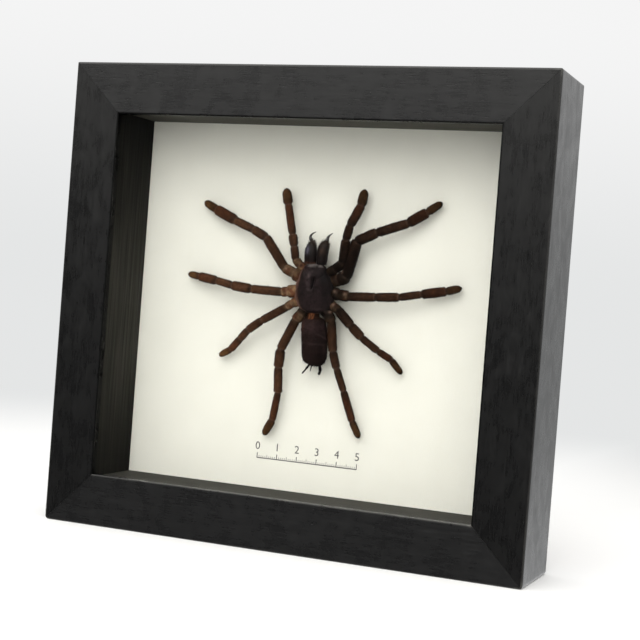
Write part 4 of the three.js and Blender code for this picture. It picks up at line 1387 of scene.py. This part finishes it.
def limb_tint(name, segments, shares, nearest, facing, aside, points, count):
    """Colour of a limb's points: tan at the body, brown beyond, pale at the joints, rusty at the foot.

    facing and aside, from -1 to 1, say how far a point lies towards the glass and across the limb.
    """
    spider = settings("spider_settings")
    place = segments + shares
    tone = np.interp(place, [0.5, 1.5, 2.4, 4.0, count - 0.5], LIMB_TONES_AND_LIGHT[name])
    base = mix(spider.coxa, spider.leg, ease((place - 1.9) / 0.25))
    base = mix(base, spider.tarsus, ease((place - (count - 2)) / 0.4))
    base = mix(base, base * (1.1, 1.4, 1.2), ease((place - (count - 1)) / 0.2))
    # The first two segments are blotched with red-brown and crossed by dark creases.
    near_body = ease((2.1 - place) / 0.3)
    blotch = ease((roughness_at(points, 420, 6.0) + 0.05) / 0.35)
    base = mix(base, base * (0.62, 0.42, 0.4), blotch * near_body)
    tint = base * tone[:, None]
    patches = roughness_at(points, 330, 2.0) * 0.5 + 0.5
    seam = bump(nearest / 0.5) * (0.2 + 0.8 * patches)
    tint = mix(tint, np.array(spider.membrane) * np.minimum(tone + 0.15, 1.0)[:, None], seam * 0.38)
    crease = bump((nearest - 1.0) / 0.3) * near_body
    tint = tint * (1 - 0.55 * crease * (1 - patches))[:, None]
    # Pale lines run along the limb, and its flanks are painted darker than its back: painted shade on the
    # sides turned from the light.
    lines = bump((aside - 0.34) / 0.13) + 0.8 * bump((aside + 0.28) / 0.12)
    drift = ease(roughness_at(points, 260, 9.0) + 0.5)
    streaks = 1 + 0.4 * roughness_at(points, 560, 9.0) + 0.55 * lines * drift * (1 - near_body)
    flank = 0.45 + 0.65 * ease(facing / 0.85)
    # A segment is darkest where it starts, and the very tip of the foot is black.
    start = bump(shares / 0.22) * (segments >= 2) * (0.3 + 0.4 * patches)
    tip = ease((place - (count - 0.2)) / 0.15)
    tint = tint * (streaks * flank * (1 - start) * (1 - 0.6 * tip))[:, None]
    for x, z in KNOBS:
        away = np.hypot(points[:, 0] / MM - x, points[:, 2] / MM - z)
        tint = mix(tint, spider.membrane, 0.65 * bump(away / 0.6) * ease(facing / 0.5))
    return tint


def make_limb(name, number, skin, hair):
    """One leg or palp with its creases, hair and bristles."""
    spider = settings("spider_settings")
    joints, girths = LIMBS[name]
    rows = limb_rows(joints, girths, spider.ring_step)
    centres = np.array([row[0] for row in rows])
    width, segment, share, nearest = (np.array([row[i] for row in rows], float) for i in (1, 2, 3, 4))
    inset = 2 * spider.hair_inset / MM
    width = np.maximum(width - inset * np.minimum(1, width / 2), 0.12)
    ways, across = path_ways(centres)
    away = unit(np.cross(ways, across))
    sides = spider.sides
    angles = round_angles(sides)

    furrow = np.zeros((len(rows), sides))
    body = np.where(segment >= 2, 1.0, 0.35) * np.sin(np.clip(share, 0, 1) * math.pi) ** 0.6
    for index, (angle, depth) in enumerate(FURROWS):
        turned = np.angle(np.exp(1j * (angles[None, :] - angle)))
        spot = centres + np.array([number * 0.1, index * 0.1, 0])
        drift = 0.25 * roughness_at(spot, 90, index)
        strength = 0.6 + 0.8 * roughness_at(spot, 160, index + 4.0)
        furrow -= depth * bump((turned + drift[:, None]) / 0.2) * (body * strength)[:, None]
    radius = width[:, None] / 2
    wide, thick = np.cos(angles) * radius * MM, np.sin(angles) * radius * FLATNESS * MM
    rings = tube(centres, across, away, wide, thick)
    lumps = lumps_on(rings, 330, number) * 0.1
    points, faces = loft(swell(rings, (furrow + lumps) * np.minimum(1, width / 3)[:, None]))

    def each(values):
        return np.concatenate([np.repeat(values, sides, axis=0), values[:1], values[-1:]])

    from_middle = (points - each(centres)) / (each(width) * MM / 2)[:, None]
    facing = np.clip(-from_middle[:, 1] / FLATNESS, -1, 1)
    aside = (from_middle * each(across)).sum(1)
    tint = limb_tint(name, each(segment), each(share), each(nearest), facing, aside, points, len(girths))
    piece = make_piece(f"{name}_skin", points, faces, skin, tint)
    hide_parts(name)

    comb = each(ways)
    place = each(segment + share)
    tarsus = ease((place - (len(girths) - 1.3)) / 0.6)
    cover = 0.35 + 0.65 * ease((place - 1.6) / 0.6)
    plant_hairs(f"{name}_hair", "limb_hair", piece, comb, hair, number, cover * (1 + 0.8 * tarsus))
    plant_hairs(f"{name}_bristles", "limb_bristles", piece, comb, hair, number, cover * (1 - 0.7 * tarsus))


def make_glue():
    """Two lumpy pads of set glue between the underside and the card."""
    material = set_glue()
    for number, (name, (x, z, radius, height)) in enumerate(GLUE_PADS.items()):
        rows, sides, top = 22, 48, 4  # the last few rows round the top off
        angles = round_angles(sides)
        spread = radius * (1 + 0.05 * np.sin(3 * angles + number) + 0.03 * np.sin(5 * angles + 2))
        rings = []
        for row in range(rows):
            share = row / (rows - 1)
            over = max(0, row - (rows - top - 1))
            out = spread * (1 - 0.32 * share**1.6) * (1 - 0.06 * over**1.3)
            y = np.full(sides, CARD_FACE - (0.2 + height * share) * MM)
            rings.append(np.stack([(x + np.cos(angles) * out) * MM, y, (z + np.sin(angles) * out) * MM], -1))
        points, faces = loft(np.array(rings))
        piece = make_piece(f"{name}_blob", points, faces, material)
        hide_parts(name)


# ---------------------------------------------------------------- stage

CAMERA_PLACE = (249.6, -603.7, 115.2)  # in millimetres
CAMERA_RIGHT = (0.9250, 0.3722, 0.0762)
CAMERA_DOWN = (0.0775, 0.0117, -0.9969)
CAMERA_LENS = 80.9  # in millimetres, on the sensor below


CAMERA_SENSOR = 36
FLOOR_RADIUS = 6.0
SOFTBOX_PLACE = (0.12, -1.0, 0.60)
SOFTBOX_TARGET = (0, 0, 0.1)
SOFTBOX_SIZE = (0.62, 1.0)


def add_camera():
    """The camera in front of the frame, to its right."""
    data = bpy.data.cameras.new("camera")
    data.sensor_width = CAMERA_SENSOR
    data.lens = CAMERA_LENS
    data.clip_start = 0.02
    camera = add_object("camera", data)
    right = Vector(CAMERA_RIGHT).normalized()
    up = -Vector(CAMERA_DOWN)
    up = (up - right * up.dot(right)).normalized()
    back = right.cross(up)
    turn = Matrix((right, up, back)).transposed().to_4x4()
    camera.matrix_world = Matrix.Translation(Vector(CAMERA_PLACE) * MM) @ turn
    bpy.context.scene.camera = camera


def add_softbox(power):
    """The key light above the front, kept out of the glass and its mirror image."""
    data = bpy.data.lights.new("key_softbox", "AREA")
    data.shape = "RECTANGLE"
    data.size, data.size_y = SOFTBOX_SIZE
    data.energy = power
    light = add_object("key_softbox", data)
    light.location = SOFTBOX_PLACE
    way = Vector(SOFTBOX_TARGET) - Vector(SOFTBOX_PLACE)
    light.rotation_euler = way.to_track_quat("-Z", "Y").to_euler()
    light.visible_transmission = False
    light.visible_glossy = False


def add_floor():
    """The table top."""
    working = bmesh.new()
    bmesh.ops.create_circle(working, cap_ends=True, segments=96, radius=FLOOR_RADIUS)
    floor = add_object("floor", finished_mesh("floor", working, pale_floor()))
    floor.visible_glossy = False


def add_room():
    """The even light of a pale room."""
    world = bpy.data.worlds.new("room")
    world.use_nodes = True
    bpy.context.scene.world = world
    room = Finish.__new__(Finish)
    room.tree = world.node_tree
    direction = room.node("ShaderNodeTexCoord").outputs["Generated"]
    seen = room.node("ShaderNodeLightPath").outputs["Is Camera Ray"]
    room.fill(room.tree.nodes["Background"], {"Color": room_light(room, direction, seen), "Strength": 1.0})
    bpy.context.scene.view_settings.view_transform = "Standard"


# ---------------------------------------------------------------- operators


class SPECIMEN_OT_rails(bpy.types.Operator):
    """Make the four mitred rails of the frame"""

    bl_idname = "specimen.rails"
    bl_label = "Rails"

    def execute(self, context):
        # The level rails get a copy of the stain twice as light: painted reflection of the light from above,
        # which they catch more than the upright rails.
        level = satin_wood("satin_wood_level_painted_sheen", 0, 2.0)
        upright = satin_wood("satin_wood_upright", 2, 1.0)
        for side in ("top", "bottom", "left", "right"):
            rail_piece(side, level if side in ("top", "bottom") else upright)
        return {"FINISHED"}


class SPECIMEN_OT_case(bpy.types.Operator):
    """Finish the glass, the lining strips and the card, and print the scale"""

    bl_idname = "specimen.case"
    bl_label = "Glass, lining and card"

    def execute(self, context):
        dress(["glass_pane"], clear_glass())
        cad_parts["glass_pane"].visible_shadow = False
        # Lit and shaded copies of one paint: the top strip painted lightest, the bottom one less, and the
        # upright strips painted darker towards both ends.
        dress(["spacer_top"], lining_wood("lining_paint_top", 0, 9.0, 0.04))
        dress(["spacer_bottom"], lining_wood("lining_paint_bottom", 0, 5.0, 0.03))
        dress(["spacer_left", "spacer_right"], lining_wood("lining_paint_upright", 2, 4.2, 0.0, 0.45, 0.35))
        dress(["mount_card"], cream_card())
        scale_print()
        return {"FINISHED"}


class SPECIMEN_OT_back(bpy.types.Operator):
    """Finish the backing board, the tabs and the hanger"""

    bl_idname = "specimen.back"
    bl_label = "Back"

    def execute(self, context):
        dress(["backing_board"], hardboard())
        tabs = [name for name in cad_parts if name.startswith("back_tab_")]
        dress(tabs, sheet_metal("tab_steel", (0.5, 0.5, 0.51), (0.3, 0.28, 0.26), 0.32))
        brass = sheet_metal("brassed_steel", (0.62, 0.44, 0.17), (0.34, 0.25, 0.13), 0.28)
        dress(["hanger_plate", "hanger_nail_left", "hanger_nail_right"], brass)
        return {"FINISHED"}


class SPECIMEN_OT_body(bpy.types.Operator):
    """Make the carapace, the eyes and the abdomen"""

    bl_idname = "specimen.body"
    bl_label = "Body"

    def execute(self, context):
        hair = hair_finish()
        make_cephalothorax(dried_skin("carapace_skin", 0.42, 3200, 0.05 * MM, 0.11), hair)
        make_eyes(fang_horn())
        make_abdomen(dried_skin("velvet_skin", 0.7, 2600, 0.08 * MM, 0.05), hair)
        return {"FINISHED"}


class SPECIMEN_OT_jaws(bpy.types.Operator):
    """Make the jaws and their fangs"""

    bl_idname = "specimen.jaws"
    bl_label = "Jaws"

    def execute(self, context):
        make_jaws(dried_skin("jaw_skin", 0.36, 3000, 0.05 * MM, 0.16), hair_finish())
        make_fangs(fang_horn())
        return {"FINISHED"}


class SPECIMEN_OT_limbs(bpy.types.Operator):
    """Make the eight legs and the two palps"""

    bl_idname = "specimen.limbs"
    bl_label = "Limbs"

    def execute(self, context):
        skin = dried_skin("leg_skin", 0.5, 2800, 0.07 * MM, 0.07)
        hair = hair_finish()
        for number, name in enumerate(LIMBS):
            make_limb(name, number, skin, hair)
        return {"FINISHED"}


class SPECIMEN_OT_glue(bpy.types.Operator):
    """Make the pads of glue under the body"""

    bl_idname = "specimen.glue"
    bl_label = "Glue"

    def execute(self, context):
        make_glue()
        return {"FINISHED"}


class SPECIMEN_OT_stage(bpy.types.Operator):
    """Set up the floor, the light and the camera"""

    bl_idname = "specimen.stage"
    bl_label = "Stage"

    def execute(self, context):
        add_camera()
        add_floor()
        add_room()
        add_softbox(settings("stage_settings").key_power)
        return {"FINISHED"}


OPERATORS = (
    SPECIMEN_OT_stage,
    SPECIMEN_OT_rails,
    SPECIMEN_OT_case,
    SPECIMEN_OT_back,
    SPECIMEN_OT_body,
    SPECIMEN_OT_jaws,
    SPECIMEN_OT_limbs,
    SPECIMEN_OT_glue,
)


class SPECIMEN_PT_panel(bpy.types.Panel):
    """Lists the steps and the settings of the specimen"""

    bl_idname = "SPECIMEN_PT_panel"
    bl_label = "Framed specimen"
    bl_space_type = "VIEW_3D"
    bl_region_type = "UI"
    bl_category = "Specimen"

    def draw(self, context):
        for operator in OPERATORS:
            self.layout.operator(operator.bl_idname)
        for name, group in SETTINGS.items():
            box = self.layout.box()
            for key in group.__annotations__:
                box.prop(getattr(context.scene, name), key)


CLASSES = (*SETTINGS.values(), *OPERATORS, SPECIMEN_PT_panel)


def register():
    for cls in CLASSES:
        bpy.utils.register_class(cls)
    for name, group in SETTINGS.items():
        setattr(bpy.types.Scene, name, PointerProperty(type=group))


def unregister():
    for name in SETTINGS:
        delattr(bpy.types.Scene, name)
    for cls in reversed(CLASSES):
        bpy.utils.unregister_class(cls)


def main():
    register()
    for operator in OPERATORS:
        category, action = operator.bl_idname.split(".")
        getattr(getattr(bpy.ops, category), action)()
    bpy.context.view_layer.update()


if __name__ == "__main__":
    main()
